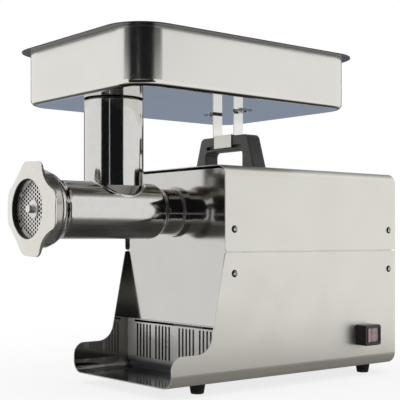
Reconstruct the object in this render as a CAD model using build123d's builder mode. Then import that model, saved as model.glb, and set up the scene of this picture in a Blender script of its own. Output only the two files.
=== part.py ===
from build123d import *
import os
from math import acos, cos, pi, radians, sin, tan

# Electric meat grinder, No. 22 size. Millimetres, +Z up, the head's outlet faces -Y.
# The origin is at the bottom centre of the whole machine. Lengths called reach, setback, front or
# rear are measured along Y from the covers' front edge, and the head's front end is built back from
# the ring nut's front face.

# Clearances
fit = 0.05                  # radial, shafts and pins that turn or slide
seat = 0.02                 # radial, pieces pressed or screwed together
slip = 0.2                  # between flat faces of pieces that come apart
edge_soft = 0.8             # small rounding on handled edges
edge_round = 1.6            # larger rounding on moulded and cast edges
flange_screws = 4           # screws on each round flange

# Body covers
head_reach = 227.0          # front edge of the covers to the ring nut's front face
cover_length = 340.0
body_width = 226.0
body_top = 299.5
foot_height = 14.0
seam_height = 185.0
seam_gap = 1.6
seam_corner = 4.0           # covers' front corners, at the seam
seam_strip = 16.0           # height of the strips inside, behind the seam
sheet = 1.2
top_bend = 15.0
bottom_bend = 17.0

# Trough in front of the body
trough_reach = 88.2
trough_lip = 55.0           # height of the side walls' low front part
trough_lean = 26.0          # the wall's slanted edge reaches this far forward at the lip
trough_fillet = 25.0
trough_corner = 17.0

# Front, vent and rear panels
panel_setback = 4.0
panel_gap = 3.0             # above the front panel
flange_depth = 30.0
vent_flange = 15.0
flange_below = 12.0         # side flanges, past the lower and the upper cover screws
flange_above = 17.0
vent_top = 86.0
vent_slot_floor = 15.8      # slots' lower ends, above the floor
vent_slot_margin = 6.5      # slots' upper ends, below the vent panel's top
vent_slot_width = 3.6
vent_slot_pitch = 7.7
vent_slot_count = 5
vent_inner_start = 11.4     # first slot of the inner group, from the middle
vent_outer_start = 56.0     # first slot of the outer group, from the middle
long_slot_half = 94.0
long_slot_height = 3.0
long_slot_drop = 3.0        # below the vent panel's top
rear_setback = 6.8          # rear panel's outer face, inside the covers' rear edge
rear_vent_count = 15
rear_vent_pitch = 10.0
rear_vent_height = 60.0
rear_vent_width = 4.0
rear_vent_z = 210.0

# Cover screws and feet
screw_radius = 2.0
screw_head_radius = 5.0
screw_head_height = 2.4
screw_length = 9.0
screw_front = 16.0
screw_rear = 15.0           # from the rear edge
screw_rise = 30.0           # above the seam
screw_drop = 28.0           # below the seam
recess_length = 5.6
recess_width = 1.3
recess_depth = 1.6
foot_top_radius = 11.0
foot_bottom_radius = 8.5
foot_round = 1.2
foot_inset = 33.0           # from the side walls
foot_front = -20.0
foot_rear = 36.0            # from the rear edge
foot_screw_length = 10.0

# Carry handle
handle_front = 94.0
handle_depth = 24.0
handle_height = 50.5
handle_base_half = 65.5
handle_top_half = 50.0
handle_corner = 9.0
grip_thick = 21.0
grip_opening_half = 40.0
grip_opening_corner = 7.0
grip_groove_inset = 2.0     # groove's ends, inside the opening's sides
grip_groove_height = 5.0
grip_groove_drop = 15.6     # groove's middle, below the grip's top
grip_groove_depth = 5.0
handle_screw_length = 16.0

# Grinder head
axis_drop = 60.1            # barrel's axis, below the body's top
throat_reach = 97.0         # throat axis, forward of the covers' front edge
throat_radius = 39.2
throat_wall = 4.2
throat_waist_radius = 32.5
throat_waist_rise = 18.0    # above the axis
throat_flare_rise = 32.0
throat_weld = 2.4           # rounding where the throat meets the barrel
throat_gap = 1.8            # below the pan
barrel_radius = 37.3
barrel_wall = 3.5
thread_wall = 4.1           # barrel's front end, round the plate
flare_gap = 1.5             # behind the ring nut
flare_length = 20.5
flare_step = 1.8            # flare's edge, above the thread
flare_front_slope = -0.15
flare_rear_slope = -0.05
shoulder_front_reach = 41.0
shoulder_rear_reach = 25.0
neck_step = 2.05            # neck's radius, above the spigot's
neck_reach = 2.0            # shoulder that stops on the socket's front face
spigot_radius = 28.95
spigot_end = 20.0           # behind the covers' front edge
rear_wall_reach = 44.0      # bottom of the barrel's bore
journal_bore = 16.0

# Ring nut, plate, knife, auger
nut_wall = 3.6              # round the thread
nut_lobe_rise = 10.0        # above the nut's round body
nut_lobe_width = 43.0
nut_hollow_rise = 1.8       # between the lobes
nut_lobe_corner = 12.0
nut_flange = 8.5
nut_cone = 5.5              # lobes' edges, behind the rim of the opening
nut_rim = 1.2               # width of the rim round the dish
nut_set = -2.5              # degrees, as tightened
nut_edge_round = 0.8
nut_length = 24.0
nut_lip = 10.0              # nut's front face to the plate
nut_hold = 4.5              # width of plate that the lip covers
nut_dish_flare = 1.2
nut_dish_depth = 1.5
nut_rear_round = 2.4
plate_radius = 41.0
plate_thick = 9.0
plate_play = 0.3            # radial, in its seat
plate_proud = 1.0           # past the barrel's end
plate_ledge = 2.0           # width of the ledge behind the plate
plate_hole_radius = 1.75
plate_hole_pitch = 5.2
plate_margin = 6.4          # outermost hole centres, inside the plate's edge
plate_hub_radius = 11.5
plate_hub_rise = 1.2
plate_pin_radius = 2.8
plate_pin_length = 12.0
knife_thick = 8.0
knife_gap = 2.0
knife_arm_width = 13.0
knife_hub_radius = 14.0
knife_square = 14.0
knife_chamfer = 2.0
stud_radius = 5.3
stud_play = 0.07            # radial, in the plate's centre hole
stud_proud = 7.5            # past the plate's hub
auger_gap = 0.5             # radial, inside the barrel
auger_core_front = 13.0
auger_core_rear = 21.0
auger_pitch = 42.0
flight_root = 10.0
flight_thick_root = 9.0
flight_thick_tip = 5.0
flight_front_gap = 6.0
washer_thick = 3.0
washer_radius = 27.0
tang_square = 18.0
tang_start = 18.0
tang_end = 60.0

# Head socket and its lock
socket_wall = 5.5
socket_bevel = 3.0          # across the front face
socket_bevel_depth = 0.8
socket_flange_width = 11.5
socket_flange_thick = 6.0
socket_screw_out = 6.0      # screw circle, outside the tube
socket_screw_radius = 2.0
socket_screw_head = 3.6
socket_screw_hex = 1.8
socket_screw_head_height = 3.0
socket_screw_length = 12.0
lock_reach = 5.0            # where the lock screw's tip meets the spigot
lock_tilt = 45.0            # the lock screw leans forward, clear of the front panel
lock_screw_radius = 3.0
lock_tip_radius = 0.5
lock_tip_length = 3.0
lock_tip_gap = 0.45
neck_room = 0.6             # between the boss and the head's neck
lock_boss_radius = 6.4
lock_boss_length = 22.0
lock_knob_gap = 3.0
lock_knob_radius = 14.0
lock_knob_length = 18.0
lock_knob_lobes = 6
lock_knob_scallop = 4.5
lock_thread_in_knob = 12.0

# Gear train
pressure_angle = 25.0
addendum = 0.8              # in modules
dedendum = 1.1
backlash = 0.3              # along the pitch circle, for each pair
module_slow = 2.0
output_teeth = 44
pinion_teeth = 12
module_fast = 1.5
intermediate_teeth = 50
motor_teeth = 12
flank_points = 4
output_gear_front = 72.0
output_gear_width = 22.0
pinion_extra = 1.0          # pinions stand past the gears' faces
intermediate_width = 14.0
gear_gap = 3.0              # between gears, and behind the last one
output_cup_radius = 18.0
output_cup_front = 36.0
output_cup_rear = 64.0
output_cup_room = 2.0       # behind the tang's end
tang_play = 0.12
output_shaft_radius = 12.5
pinion_shaft_radius = 8.0
motor_shaft_radius = 8.0

# Gearbox casting
gearbox_front = 28.0
gearbox_front_wall = 8.0
gearbox_cover_thick = 16.0
gear_room = 3.0
gearbox_wall = 5.0
motor_pinion_room = 25.0
bearing_boss_wall = 6.0
output_bearing_radius = 28.0
output_bearing_front = 38.0
output_bearing_width = 18.0
tail_bearing_radius = 20.0
pinion_bearing_radius = 14.0
pinion_bearing_front = 32.0
bearing_width = 12.0
motor_bearing_radius = 16.0
shaft_room = 1.5
pedestal_half = 48.0
pedestal_front = 46.0
pedestal_rear = 104.0
pedestal_foot_half = 76.0
pedestal_foot_front = 42.0
pedestal_foot_rear = 108.0
pedestal_foot_thick = 8.0
pedestal_bolt_x = 64.0
pedestal_bolt_front = 54.0
pedestal_bolt_rear = 96.0
bolt_radius = 3.0
bolt_head_radius = 5.5
bolt_head_height = 4.0
gearbox_bolt_radius = 2.0
gearbox_bolt_head = 3.6
gearbox_bolt_length = 40.0
gearbox_bolt_angle = 40.0
gearbox_bolt_inset = 2.1    # side bolts, inside the round end's outline
gearbox_bolt_rise = 24.6    # side bolts, above the pinion

# Motor
motor_radius = 58.0
motor_wall = 4.0
motor_length = 142.0
motor_flange_width = 8.0
motor_flange_thick = 6.0
motor_screw_radius = 2.0
motor_screw_length = 14.0
stator_bore = 32.0
stator_start = 30.0         # behind the motor's front face
stator_rear_room = 42.0     # stator's rear face to the can's rear end
winding_length = 11.0
winding_inner = 36.0
winding_gap = 2.0           # inside the can
rotor_gap = 0.4
fan_length = 14.0
fan_rear_gap = 3.0          # to the end cap's boss
fan_tip_gap = 6.0           # inside the can
fan_hub_radius = 16.0
fan_disc = 3.0
fan_blades = 9
fan_blade_thick = 2.0
end_cap_thick = 8.0
end_cap_boss = 9.0
end_cap_boss_radius = 21.0
end_cap_vents = 8
end_cap_vent_radius = 6.0
end_cap_vent_circle = 38.0
end_cap_screw_radius = 1.4
end_cap_screw_head = 2.8
end_cap_screw_length = 16.0
cradle_inset = 26.0         # ahead of the can's rear end
cradle_thick = 4.0
cradle_half = 50.0
cradle_foot_depth = 24.0
capacitor_radius = 20.0
capacitor_length = 80.0
capacitor_front = 150.0
capacitor_inset = 43.8      # axis, from the left wall
capacitor_round = 3.0
clip_width = 14.0
clip_thick = 1.2
clip_tab = 14.0

# Switch on the right side
switch_centre = 268.7
switch_z = 62.0
switch_length = 34.5
switch_height = 30.0
switch_proud = 19.0
switch_corner = 4.0
switch_body_length = 28.0
switch_body_height = 23.0
switch_body_depth = 22.0
rocker_length = 25.2
rocker_height = 20.0
rocker_recess_gap = 0.9
rocker_side_gap = 0.5
rocker_recess_depth = 12.0
rocker_pivot_depth = 7.0    # below the housing's outer face
rocker_end_rise = 6.0
rocker_middle_rise = 3.6
rocker_under = 3.0
rocker_tilt = 7.0
rocker_pin_radius = 1.5
rocker_pin_proud = 1.3

# Cord gland and circuit breaker on the rear panel
gland_x = 62.0
gland_z = 50.0
gland_radius = 8.5
gland_bore = 4.5
gland_flange_radius = 11.5
gland_flange = 3.0
gland_nut_radius = 11.0
gland_nut = 5.0
breaker_x = -62.0
breaker_z = 60.0
breaker_radius = 10.0
breaker_depth = 26.0
breaker_neck_radius = 7.0
breaker_neck = 3.0
button_radius = 4.5
button_proud = 3.4
button_travel = 2.5
button_tail = 10.0

# Pan and its bracket
bracket_rise = 35.0         # pan's underside, above the handle
pan_depth = 73.6
pan_lead = 63.25            # pan's front wall, ahead of the throat's axis
pan_width = 274.4
pan_length = 379.5
pan_corner = 40.0
pan_bend = 8.0
pan_sheet = 1.2
rim_width = 12.0
spout_gap = 0.6
spout_wall = 1.2
spout_length = 50.0
bracket_sheet = 1.5
bracket_half = 23.5
bracket_flange = 20.0
bracket_depth = 17.0
tab_half = 18.8
tab_height = 18.5
rivet_radius = 2.0
rivet_head_radius = 4.0
rivet_head_height = 1.4
rivet_spacing = 9.0

# Places worked out from the sizes above
front_y = (head_reach - cover_length) / 2
rear_y = front_y + cover_length
trough_y = front_y - trough_reach
floor_z = foot_height + sheet
half_inside = body_width / 2 - sheet
panel_y = front_y + panel_setback
panel_half = half_inside - slip
panel_top = body_top - sheet - slip
seam_low = seam_height - seam_gap / 2
seam_high = seam_height + seam_gap / 2
rear_panel_y = rear_y - rear_setback
strip_front_y = panel_y + flange_depth + slip
strip_rear_y = rear_panel_y - flange_depth - slip
gearbox_y = front_y + gearbox_front
output_gear_rear_y = front_y + output_gear_front + output_gear_width
intermediate_y = output_gear_rear_y + gear_gap
intermediate_rear_y = intermediate_y + intermediate_width
gearbox_rear_y = intermediate_rear_y + gear_gap
motor_y = gearbox_rear_y + gearbox_cover_thick
axis_z = body_top - axis_drop
slow_distance = module_slow * (output_teeth + pinion_teeth) / 2
fast_distance = module_fast * (intermediate_teeth + motor_teeth) / 2
pinion_z = axis_z - slow_distance
motor_z = pinion_z - fast_distance
output_tip = module_slow * (output_teeth / 2 + addendum)
intermediate_tip = module_fast * (intermediate_teeth / 2 + addendum)
side_screw_ys = (front_y + screw_front, rear_y - screw_rear)
upper_screw_z = seam_height + screw_rise
lower_screw_z = seam_height - screw_drop
flange_low = lower_screw_z - flange_below
flange_high = upper_screw_z + flange_above
vent_slot_bottom = floor_z + vent_slot_floor
vent_slot_top = vent_top - vent_slot_margin
foot_x = body_width / 2 - foot_inset
foot_places = [(x, y) for x in (-foot_x, foot_x) for y in (front_y + foot_front, rear_y - foot_rear)]
pedestal_bolt_places = [
    (x, front_y + reach)
    for x in (-pedestal_bolt_x, pedestal_bolt_x)
    for reach in (pedestal_bolt_front, pedestal_bolt_rear)
]
handle_y = front_y + handle_front
handle_top = body_top + handle_height
handle_screw_x = (grip_opening_half + handle_base_half) / 2
nut_y = front_y - head_reach
nut_rear_y = nut_y + nut_length
plate_y = nut_y + nut_lip
plate_back_y = plate_y + plate_thick
knife_back_y = plate_back_y + knife_thick
barrel_end_y = plate_y + plate_proud
flare_front_y = nut_rear_y + flare_gap
flare_rear_y = flare_front_y + flare_length
rear_wall_y = front_y - rear_wall_reach
throat_y = front_y - throat_reach
throat_bore = throat_radius - throat_wall
barrel_bore = barrel_radius - barrel_wall
plate_seat_radius = plate_radius + plate_play
plate_bore = stud_radius + stud_play
plate_hole_limit = plate_radius - plate_margin
knife_room_radius = plate_radius - plate_ledge
knife_radius = knife_room_radius - knife_gap
thread_radius = plate_seat_radius + thread_wall
flare_radius = thread_radius + flare_step
nut_opening = plate_radius - nut_hold
nut_body_radius = thread_radius + nut_wall
nut_lobe_radius = nut_body_radius + nut_lobe_rise
nut_hollow_radius = nut_body_radius + nut_hollow_rise
nut_rim_radius = nut_opening + nut_dish_flare + nut_rim
cone_end_radius = 2 * nut_lobe_radius - nut_rim_radius
auger_radius = barrel_bore - auger_gap
neck_radius = spigot_radius + neck_step
socket_radius = spigot_radius + fit + socket_wall
socket_flange_radius = socket_radius + socket_flange_width
socket_screw_circle = socket_radius + socket_screw_out
motor_flange_radius = motor_radius + motor_flange_width
motor_screw_circle = motor_radius + motor_flange_width / 2
pan_z = handle_top + bracket_rise
pan_rim_z = pan_z + pan_depth
pan_y = throat_y - pan_lead + pan_length / 2
tab_y = handle_y - slip - bracket_sheet
bracket_y = tab_y + bracket_sheet
switch_y = front_y + switch_centre
switch_face_x = body_width / 2 + switch_proud
rocker_x = switch_face_x - rocker_pivot_depth


def front_plane(y):
    """Plane across the machine at y: local x is X, local y is Z, extrusions go to the front."""
    return Plane(origin=(0, y, 0), x_dir=(1, 0, 0), z_dir=(0, -1, 0))


def side_plane(x):
    """Plane along the machine at x: local x is Y, local y is Z, extrusions go to +X."""
    return Plane(origin=(x, 0, 0), x_dir=(0, 1, 0), z_dir=(1, 0, 0))


def shaft_line(z):
    """Axis along the machine at height z."""
    return Axis((0, 0, z), (0, 1, 0))


def turned(points, z):
    """Half section, as (y, radius) points, of a piece turned about the shaft line at height z."""
    with BuildSketch(Plane.YZ) as section:
        with BuildLine():
            Polyline([(y, z + radius) for y, radius in points], close=True)
        make_face()
    return section.sketch


def ring(front, rear, inner, outer, z):
    """Half section of a plain ring between two y values."""
    return turned([(front, inner), (rear, inner), (rear, outer), (front, outer)], z)


def channel(y, base, edge, bend):
    """Section of a bent sheet channel: flat at height base, both walls ending at height edge."""
    inward = sheet if edge > base else -sheet
    half = body_width / 2
    with BuildSketch(front_plane(y)) as section:
        with BuildLine():
            outer = FilletPolyline((-half, edge), (-half, base), (half, base), (half, edge), radius=bend)
            inner = FilletPolyline(
                (half - sheet, edge),
                (half - sheet, base + inward),
                (sheet - half, base + inward),
                (sheet - half, edge),
                radius=bend - sheet,
            )
            Line(outer @ 1, inner @ 0)
            Line(inner @ 1, outer @ 0)
        make_face()
    return section.sketch


def screw_section(head_radius, head_height, shank_radius, length):
    """Half section of a pan head screw on the Z axis, seated at z = 0."""
    with BuildSketch(Plane.XZ) as section:
        with BuildLine():
            Polyline(
                (0, head_height),
                (0, -length),
                (shank_radius, -length),
                (shank_radius, 0),
                (head_radius, 0),
            )
            dome_radius = (head_radius**2 + head_height**2) / (2 * head_height)
            RadiusArc((head_radius, 0), (0, head_height), -dome_radius)
        make_face()
    return section.sketch


def gear_outline(teeth, module, plane, z, tooth_angle):
    """Involute gear outline on a front plane, with one tooth centred at tooth_angle in degrees."""
    pitch_radius = module * teeth / 2
    base_radius = pitch_radius * cos(radians(pressure_angle))
    tip_radius = pitch_radius + addendum * module
    root_radius = pitch_radius - dedendum * module
    start_radius = max(base_radius, root_radius)
    half_tooth = pi / (2 * teeth) - backlash / (4 * pitch_radius)
    pitch_roll = tan(radians(pressure_angle)) - radians(pressure_angle)
    flank = []
    for step in range(flank_points):
        radius = start_radius + (tip_radius - start_radius) * step / (flank_points - 1)
        pressure = acos(base_radius / radius)
        flank.append((radius, half_tooth + pitch_roll - (tan(pressure) - pressure)))
    if root_radius < base_radius:
        flank.insert(0, (root_radius, flank[0][1]))
    points = []
    for tooth in range(teeth):
        centre = radians(tooth_angle) + 2 * pi * tooth / teeth
        sides = [(radius, centre - half) for radius, half in flank]
        sides += [(radius, centre + half) for radius, half in reversed(flank)]
        points += [(radius * cos(angle), z + radius * sin(angle)) for radius, angle in sides]
    with BuildSketch(plane) as outline:
        with BuildLine():
            Polyline(points, close=True)
        make_face()
    return outline.sketch


def gearbox_outline(y, radii):
    """Hull round the output, pinion and motor shaft lines, on a front plane."""
    with BuildSketch(front_plane(y)) as outline:
        for height, radius in zip((axis_z, pinion_z, motor_z), radii):
            with Locations((0, height)):
                Circle(radius)
        make_hull()
    return outline.sketch


def quarter_turned(x, z, turn):
    """Point x, z from the barrel's axis, turned with the ring nut and by quarter turns."""
    return Vector(x, z).rotate(Axis.Z, nut_set + 90 * turn) + Vector(0, axis_z)


# Lower cover: floor, side walls and the open trough in front
with BuildPart() as lower_cover:
    extrude(channel(rear_y, foot_height, seam_low, bottom_bend), amount=rear_y - trough_y)
    with BuildSketch(Plane.YZ):
        with BuildLine():
            wall_edge = FilletPolyline(
                (front_y + 2 * seam_corner, seam_low),
                (front_y, seam_low),
                (front_y - trough_lean, trough_lip),
                (trough_y, trough_lip),
                (trough_y, foot_height),
                radius=(seam_corner, trough_fillet, trough_corner),
            )
            Polyline(
                wall_edge @ 1,
                (trough_y - sheet, foot_height),
                (trough_y - sheet, seam_high),
                (front_y + 2 * seam_corner, seam_high),
                wall_edge @ 0,
            )
        make_face()
    extrude(amount=body_width, both=True, mode=Mode.SUBTRACT)
    with BuildSketch(Plane.YZ):
        with Locations(*[(y, lower_screw_z) for y in side_screw_ys]):
            Circle(screw_radius + fit)
    extrude(amount=body_width, both=True, mode=Mode.SUBTRACT)
    with BuildSketch(Plane.YZ):
        with Locations((switch_y, switch_z)):
            Rectangle(switch_body_length + slip, switch_body_height + slip)
    extrude(amount=body_width, mode=Mode.SUBTRACT)
    for side in (-1, 1):
        with BuildSketch(side_plane(side * half_inside)):
            with Locations(((strip_front_y + strip_rear_y) / 2, seam_height)):
                Rectangle(strip_rear_y - strip_front_y, seam_strip)
        extrude(amount=-side * sheet)
    with BuildSketch(Plane.XY):
        with Locations(*foot_places):
            Circle(screw_radius + fit)
        with Locations(*pedestal_bolt_places):
            Circle(bolt_radius + fit)
    extrude(amount=floor_z, mode=Mode.SUBTRACT)

# Upper cover: top and side walls down to the seam
with BuildPart() as upper_cover:
    extrude(channel(rear_y, body_top, seam_high, top_bend), amount=cover_length)
    front_edges = upper_cover.edges().filter_by(Axis.X).group_by(Axis.Y)[0]
    fillet(front_edges.group_by(Axis.Z)[0], radius=seam_corner)
    with BuildSketch(Plane.YZ):
        with Locations(*[(y, upper_screw_z) for y in side_screw_ys]):
            Circle(screw_radius + fit)
    extrude(amount=body_width, both=True, mode=Mode.SUBTRACT)
    with BuildSketch(Plane.XY.offset(seam_high)):
        with Locations(*[(x, handle_y + handle_depth / 2) for x in (-handle_screw_x, handle_screw_x)]):
            Circle(screw_radius + fit)
    extrude(amount=body_top, mode=Mode.SUBTRACT)

# Front panel: flat above the vents, cut out for the socket, with side flanges for the cover screws
lock_outward = Vector(-cos(radians(lock_tilt)), -sin(radians(lock_tilt)), 0)
lock_origin = Vector(-spigot_radius, front_y + lock_reach, axis_z)
lock_plane = Plane(origin=lock_origin, x_dir=(0, 0, 1), z_dir=lock_outward)
with BuildPart() as front_panel:
    with BuildSketch(front_plane(panel_y + sheet)) as panel_face:
        with Locations((0, vent_top + slip)):
            Rectangle(
                2 * panel_half, panel_top - panel_gap - vent_top - slip, align=(Align.CENTER, Align.MIN)
            )
        fillet(panel_face.vertices().group_by(Axis.Y)[-1], radius=top_bend)
        with Locations((0, axis_z)):
            Circle(socket_radius + slip, mode=Mode.SUBTRACT)
    extrude(amount=sheet)
    for side in (-1, 1):
        with BuildSketch(side_plane(side * panel_half)):
            with Locations((panel_y, flange_low)):
                Rectangle(flange_depth, flange_high - flange_low, align=(Align.MIN, Align.MIN))
        extrude(amount=-side * sheet)
        with BuildSketch(side_plane(side * panel_half)):
            with Locations(*[(side_screw_ys[0], z) for z in (lower_screw_z, upper_screw_z)]):
                Circle(screw_radius + fit)
        extrude(amount=-side * screw_length, mode=Mode.SUBTRACT)
    with BuildSketch(lock_plane):
        Circle(lock_boss_radius + slip)
    extrude(amount=lock_boss_length + slip, mode=Mode.SUBTRACT)

# Vent panel: slotted face at the back of the trough, flanged at floor and top
with BuildPart() as vent_panel:
    with BuildSketch(front_plane(panel_y + sheet)) as vent_face:
        with Locations((0, floor_z)):
            Rectangle(2 * panel_half, vent_top - floor_z, align=(Align.CENTER, Align.MIN))
        fillet(vent_face.vertices().group_by(Axis.Y)[0], radius=bottom_bend)
        for start in (vent_inner_start, vent_outer_start):
            for index in range(vent_slot_count):
                x = start + index * vent_slot_pitch
                with Locations(*[(s * x, (vent_slot_bottom + vent_slot_top) / 2) for s in (-1, 1)]):
                    SlotOverall(
                        vent_slot_top - vent_slot_bottom, vent_slot_width, rotation=90, mode=Mode.SUBTRACT
                    )
        with Locations((0, vent_top - long_slot_drop)):
            Rectangle(2 * long_slot_half, long_slot_height, mode=Mode.SUBTRACT)
    extrude(amount=sheet)
    with BuildSketch(Plane.XY.offset(vent_top - sheet)):
        with Locations((0, panel_y)):
            Rectangle(2 * panel_half, vent_flange, align=(Align.CENTER, Align.MIN))
    extrude(amount=sheet)
    with BuildSketch(Plane.XY.offset(floor_z)):
        with Locations((0, panel_y)):
            Rectangle(2 * (panel_half - bottom_bend), vent_flange, align=(Align.CENTER, Align.MIN))
    extrude(amount=sheet)

# Rear panel: vented sheet with flanges, and holes for the cord gland and the circuit breaker
with BuildPart() as rear_panel:
    with BuildSketch(front_plane(rear_panel_y)) as rear_face:
        with Locations((0, floor_z + slip)):
            Rectangle(2 * panel_half, panel_top - floor_z - slip, align=(Align.CENTER, Align.MIN))
        fillet(rear_face.vertices().group_by(Axis.Y)[0], radius=bottom_bend)
        fillet(rear_face.vertices().group_by(Axis.Y)[-1], radius=top_bend)
        with Locations((0, rear_vent_z)):
            with GridLocations(rear_vent_pitch, rear_vent_height, rear_vent_count, 1):
                SlotOverall(rear_vent_height, rear_vent_width, rotation=90, mode=Mode.SUBTRACT)
        with Locations((gland_x, gland_z)):
            Circle(gland_radius + seat, mode=Mode.SUBTRACT)
        with Locations((breaker_x, breaker_z)):
            Circle(breaker_neck_radius + seat, mode=Mode.SUBTRACT)
    extrude(amount=sheet)
    for side in (-1, 1):
        with BuildSketch(side_plane(side * panel_half)):
            with Locations((rear_panel_y, flange_low)):
                Rectangle(flange_depth, flange_high - flange_low, align=(Align.MAX, Align.MIN))
            with Locations(*[(side_screw_ys[1], z) for z in (lower_screw_z, upper_screw_z)]):
                Circle(screw_radius + fit, mode=Mode.SUBTRACT)
        extrude(amount=-side * sheet)

# Cover screws: pan heads with a cross recess, seated on both side walls
with BuildPart() as screw:
    revolve(screw_section(screw_head_radius, screw_head_height, screw_radius, screw_length))
    with Locations((0, 0, screw_head_height)):
        for turn in (0, 90):
            Box(
                recess_length,
                recess_width,
                2 * recess_depth,
                rotation=(0, 0, turn),
                mode=Mode.SUBTRACT,
            )

with BuildPart() as cover_screws:
    for side in (-1, 1):
        for y in side_screw_ys:
            for z in (lower_screw_z, upper_screw_z):
                with Locations(Location((side * body_width / 2, y, z), (0, side * 90, 0))):
                    add(screw.part)

# Rubber feet, each with a blind hole for its screw
with BuildPart() as rubber_feet:
    with Locations(*foot_places):
        Cone(
            foot_bottom_radius,
            foot_top_radius,
            foot_height,
            align=(Align.CENTER, Align.CENTER, Align.MIN),
        )
    fillet(rubber_feet.edges().group_by(Axis.Z)[0], radius=foot_round)
    with BuildSketch(Plane.XY.offset(foot_height)):
        with Locations(*foot_places):
            Circle(screw_radius + seat)
    extrude(amount=-foot_screw_length, mode=Mode.SUBTRACT)

with BuildPart() as foot_screw:
    revolve(screw_section(screw_head_radius, screw_head_height, screw_radius, foot_screw_length))
    with Locations((0, 0, screw_head_height)):
        for turn in (0, 90):
            Box(
                recess_length,
                recess_width,
                2 * recess_depth,
                rotation=(0, 0, turn),
                mode=Mode.SUBTRACT,
            )

with BuildPart() as foot_screws:
    with Locations(*[(x, y, floor_z) for x, y in foot_places]):
        add(foot_screw.part)

# Carry handle: trapezoid with a finger opening, rounded grip edges and a long groove on each face
with BuildPart() as carry_handle:
    with BuildSketch(front_plane(handle_y + handle_depth)):
        with BuildLine():
            top_edge = FilletPolyline(
                (-handle_base_half, body_top),
                (-handle_top_half, handle_top),
                (handle_top_half, handle_top),
                (handle_base_half, body_top),
                radius=handle_corner,
            )
            Line(top_edge @ 1, (grip_opening_half, body_top))
            under = FilletPolyline(
                (grip_opening_half, body_top),
                (grip_opening_half, handle_top - grip_thick),
                (-grip_opening_half, handle_top - grip_thick),
                (-grip_opening_half, body_top),
                radius=grip_opening_corner,
            )
            Line(under @ 1, top_edge @ 0)
        make_face()
    extrude(amount=handle_depth)
    rims = carry_handle.edges().filter_by(Axis.Y, reverse=True)
    fillet(rims.filter_by_position(Axis.Z, body_top + edge_soft, handle_top), radius=edge_round)
    for y in (handle_y + grip_groove_depth, handle_y + handle_depth):
        with BuildSketch(front_plane(y)):
            with Locations((0, handle_top - grip_groove_drop)):
                SlotOverall(2 * (grip_opening_half - grip_groove_inset), grip_groove_height)
        extrude(amount=grip_groove_depth, mode=Mode.SUBTRACT)
    with BuildSketch(Plane.XY.offset(body_top)):
        with Locations(*[(x, handle_y + handle_depth / 2) for x in (-handle_screw_x, handle_screw_x)]):
            Circle(screw_radius + seat)
    extrude(amount=handle_screw_length, mode=Mode.SUBTRACT)

with BuildPart() as handle_screw:
    revolve(screw_section(screw_head_radius, screw_head_height, screw_radius, handle_screw_length))

with BuildPart() as handle_screws:
    for x in (-handle_screw_x, handle_screw_x):
        with Locations(Location((x, handle_y + handle_depth / 2, body_top - sheet), (180, 0, 0))):
            add(handle_screw.part)

# Grinder head: barrel with a flared front end, upright throat, and the rear spigot
with BuildPart() as grinder_head:
    with BuildSketch(Plane.YZ):
        with BuildLine():
            Polyline(
                (rear_wall_y, axis_z),
                (barrel_end_y, axis_z),
                (barrel_end_y, axis_z + thread_radius),
                (flare_front_y, axis_z + thread_radius),
                (flare_front_y, axis_z + flare_radius),
            )
            Spline(
                (flare_front_y, axis_z + flare_radius),
                (flare_rear_y, axis_z + barrel_radius),
                tangents=((1, flare_front_slope), (1, flare_rear_slope)),
            )
            Line(
                (flare_rear_y, axis_z + barrel_radius),
                (front_y - shoulder_front_reach, axis_z + barrel_radius),
            )
            Spline(
                (front_y - shoulder_front_reach, axis_z + barrel_radius),
                (front_y - shoulder_rear_reach, axis_z + neck_radius),
                tangents=((1, 0), (1, 0)),
            )
            Polyline(
                (front_y - shoulder_rear_reach, axis_z + neck_radius),
                (front_y - neck_reach, axis_z + neck_radius),
                (front_y - neck_reach, axis_z + spigot_radius),
                (front_y + spigot_end, axis_z + spigot_radius),
                (front_y + spigot_end, axis_z),
                (rear_wall_y, axis_z),
            )
        make_face()
    revolve(axis=shaft_line(axis_z))
    with BuildSketch(Plane.YZ):
        with BuildLine():
            Polyline(
                (throat_y, axis_z),
                (throat_y + throat_waist_radius, axis_z),
                (throat_y + throat_waist_radius, axis_z + throat_waist_rise),
                (throat_y + throat_radius, axis_z + throat_flare_rise),
                (throat_y + throat_radius, pan_z - throat_gap),
                (throat_y, pan_z - throat_gap),
                close=True,
            )
        make_face()
    revolve(axis=Axis((0, throat_y, 0), (0, 0, 1)))
    junction = grinder_head.edges().filter_by(GeomType.BSPLINE)
    fillet(
        junction.filter_by_position(Axis.Y, throat_y - throat_radius, throat_y + throat_radius),
        radius=throat_weld,
    )
    revolve(
        turned(
            [
                (barrel_end_y, 0),
                (barrel_end_y, plate_seat_radius),
                (plate_back_y + slip, plate_seat_radius),
                (plate_back_y + slip, knife_room_radius),
                (knife_back_y, knife_room_radius),
                (knife_back_y, barrel_bore),
                (rear_wall_y, barrel_bore),
                (rear_wall_y, journal_bore),
                (front_y + spigot_end, journal_bore),
                (front_y + spigot_end, 0),
            ],
            axis_z,
        ),
        axis=shaft_line(axis_z),
        mode=Mode.SUBTRACT,
    )
    with BuildSketch(Plane.XY.offset(axis_z)):
        with Locations((0, throat_y)):
            Circle(throat_waist_radius - throat_wall)
    extrude(amount=throat_flare_rise, mode=Mode.SUBTRACT)
    with BuildSketch(Plane.XY.offset(axis_z + throat_flare_rise)):
        with Locations((0, throat_y)):
            Circle(throat_bore)
    extrude(amount=pan_z - axis_z, mode=Mode.SUBTRACT)
    with BuildSketch(front_plane(barrel_end_y + plate_pin_length)):
        with Locations((0, axis_z + plate_seat_radius)):
            Circle(plate_pin_radius + seat)
    extrude(amount=plate_pin_length, mode=Mode.SUBTRACT)

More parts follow.
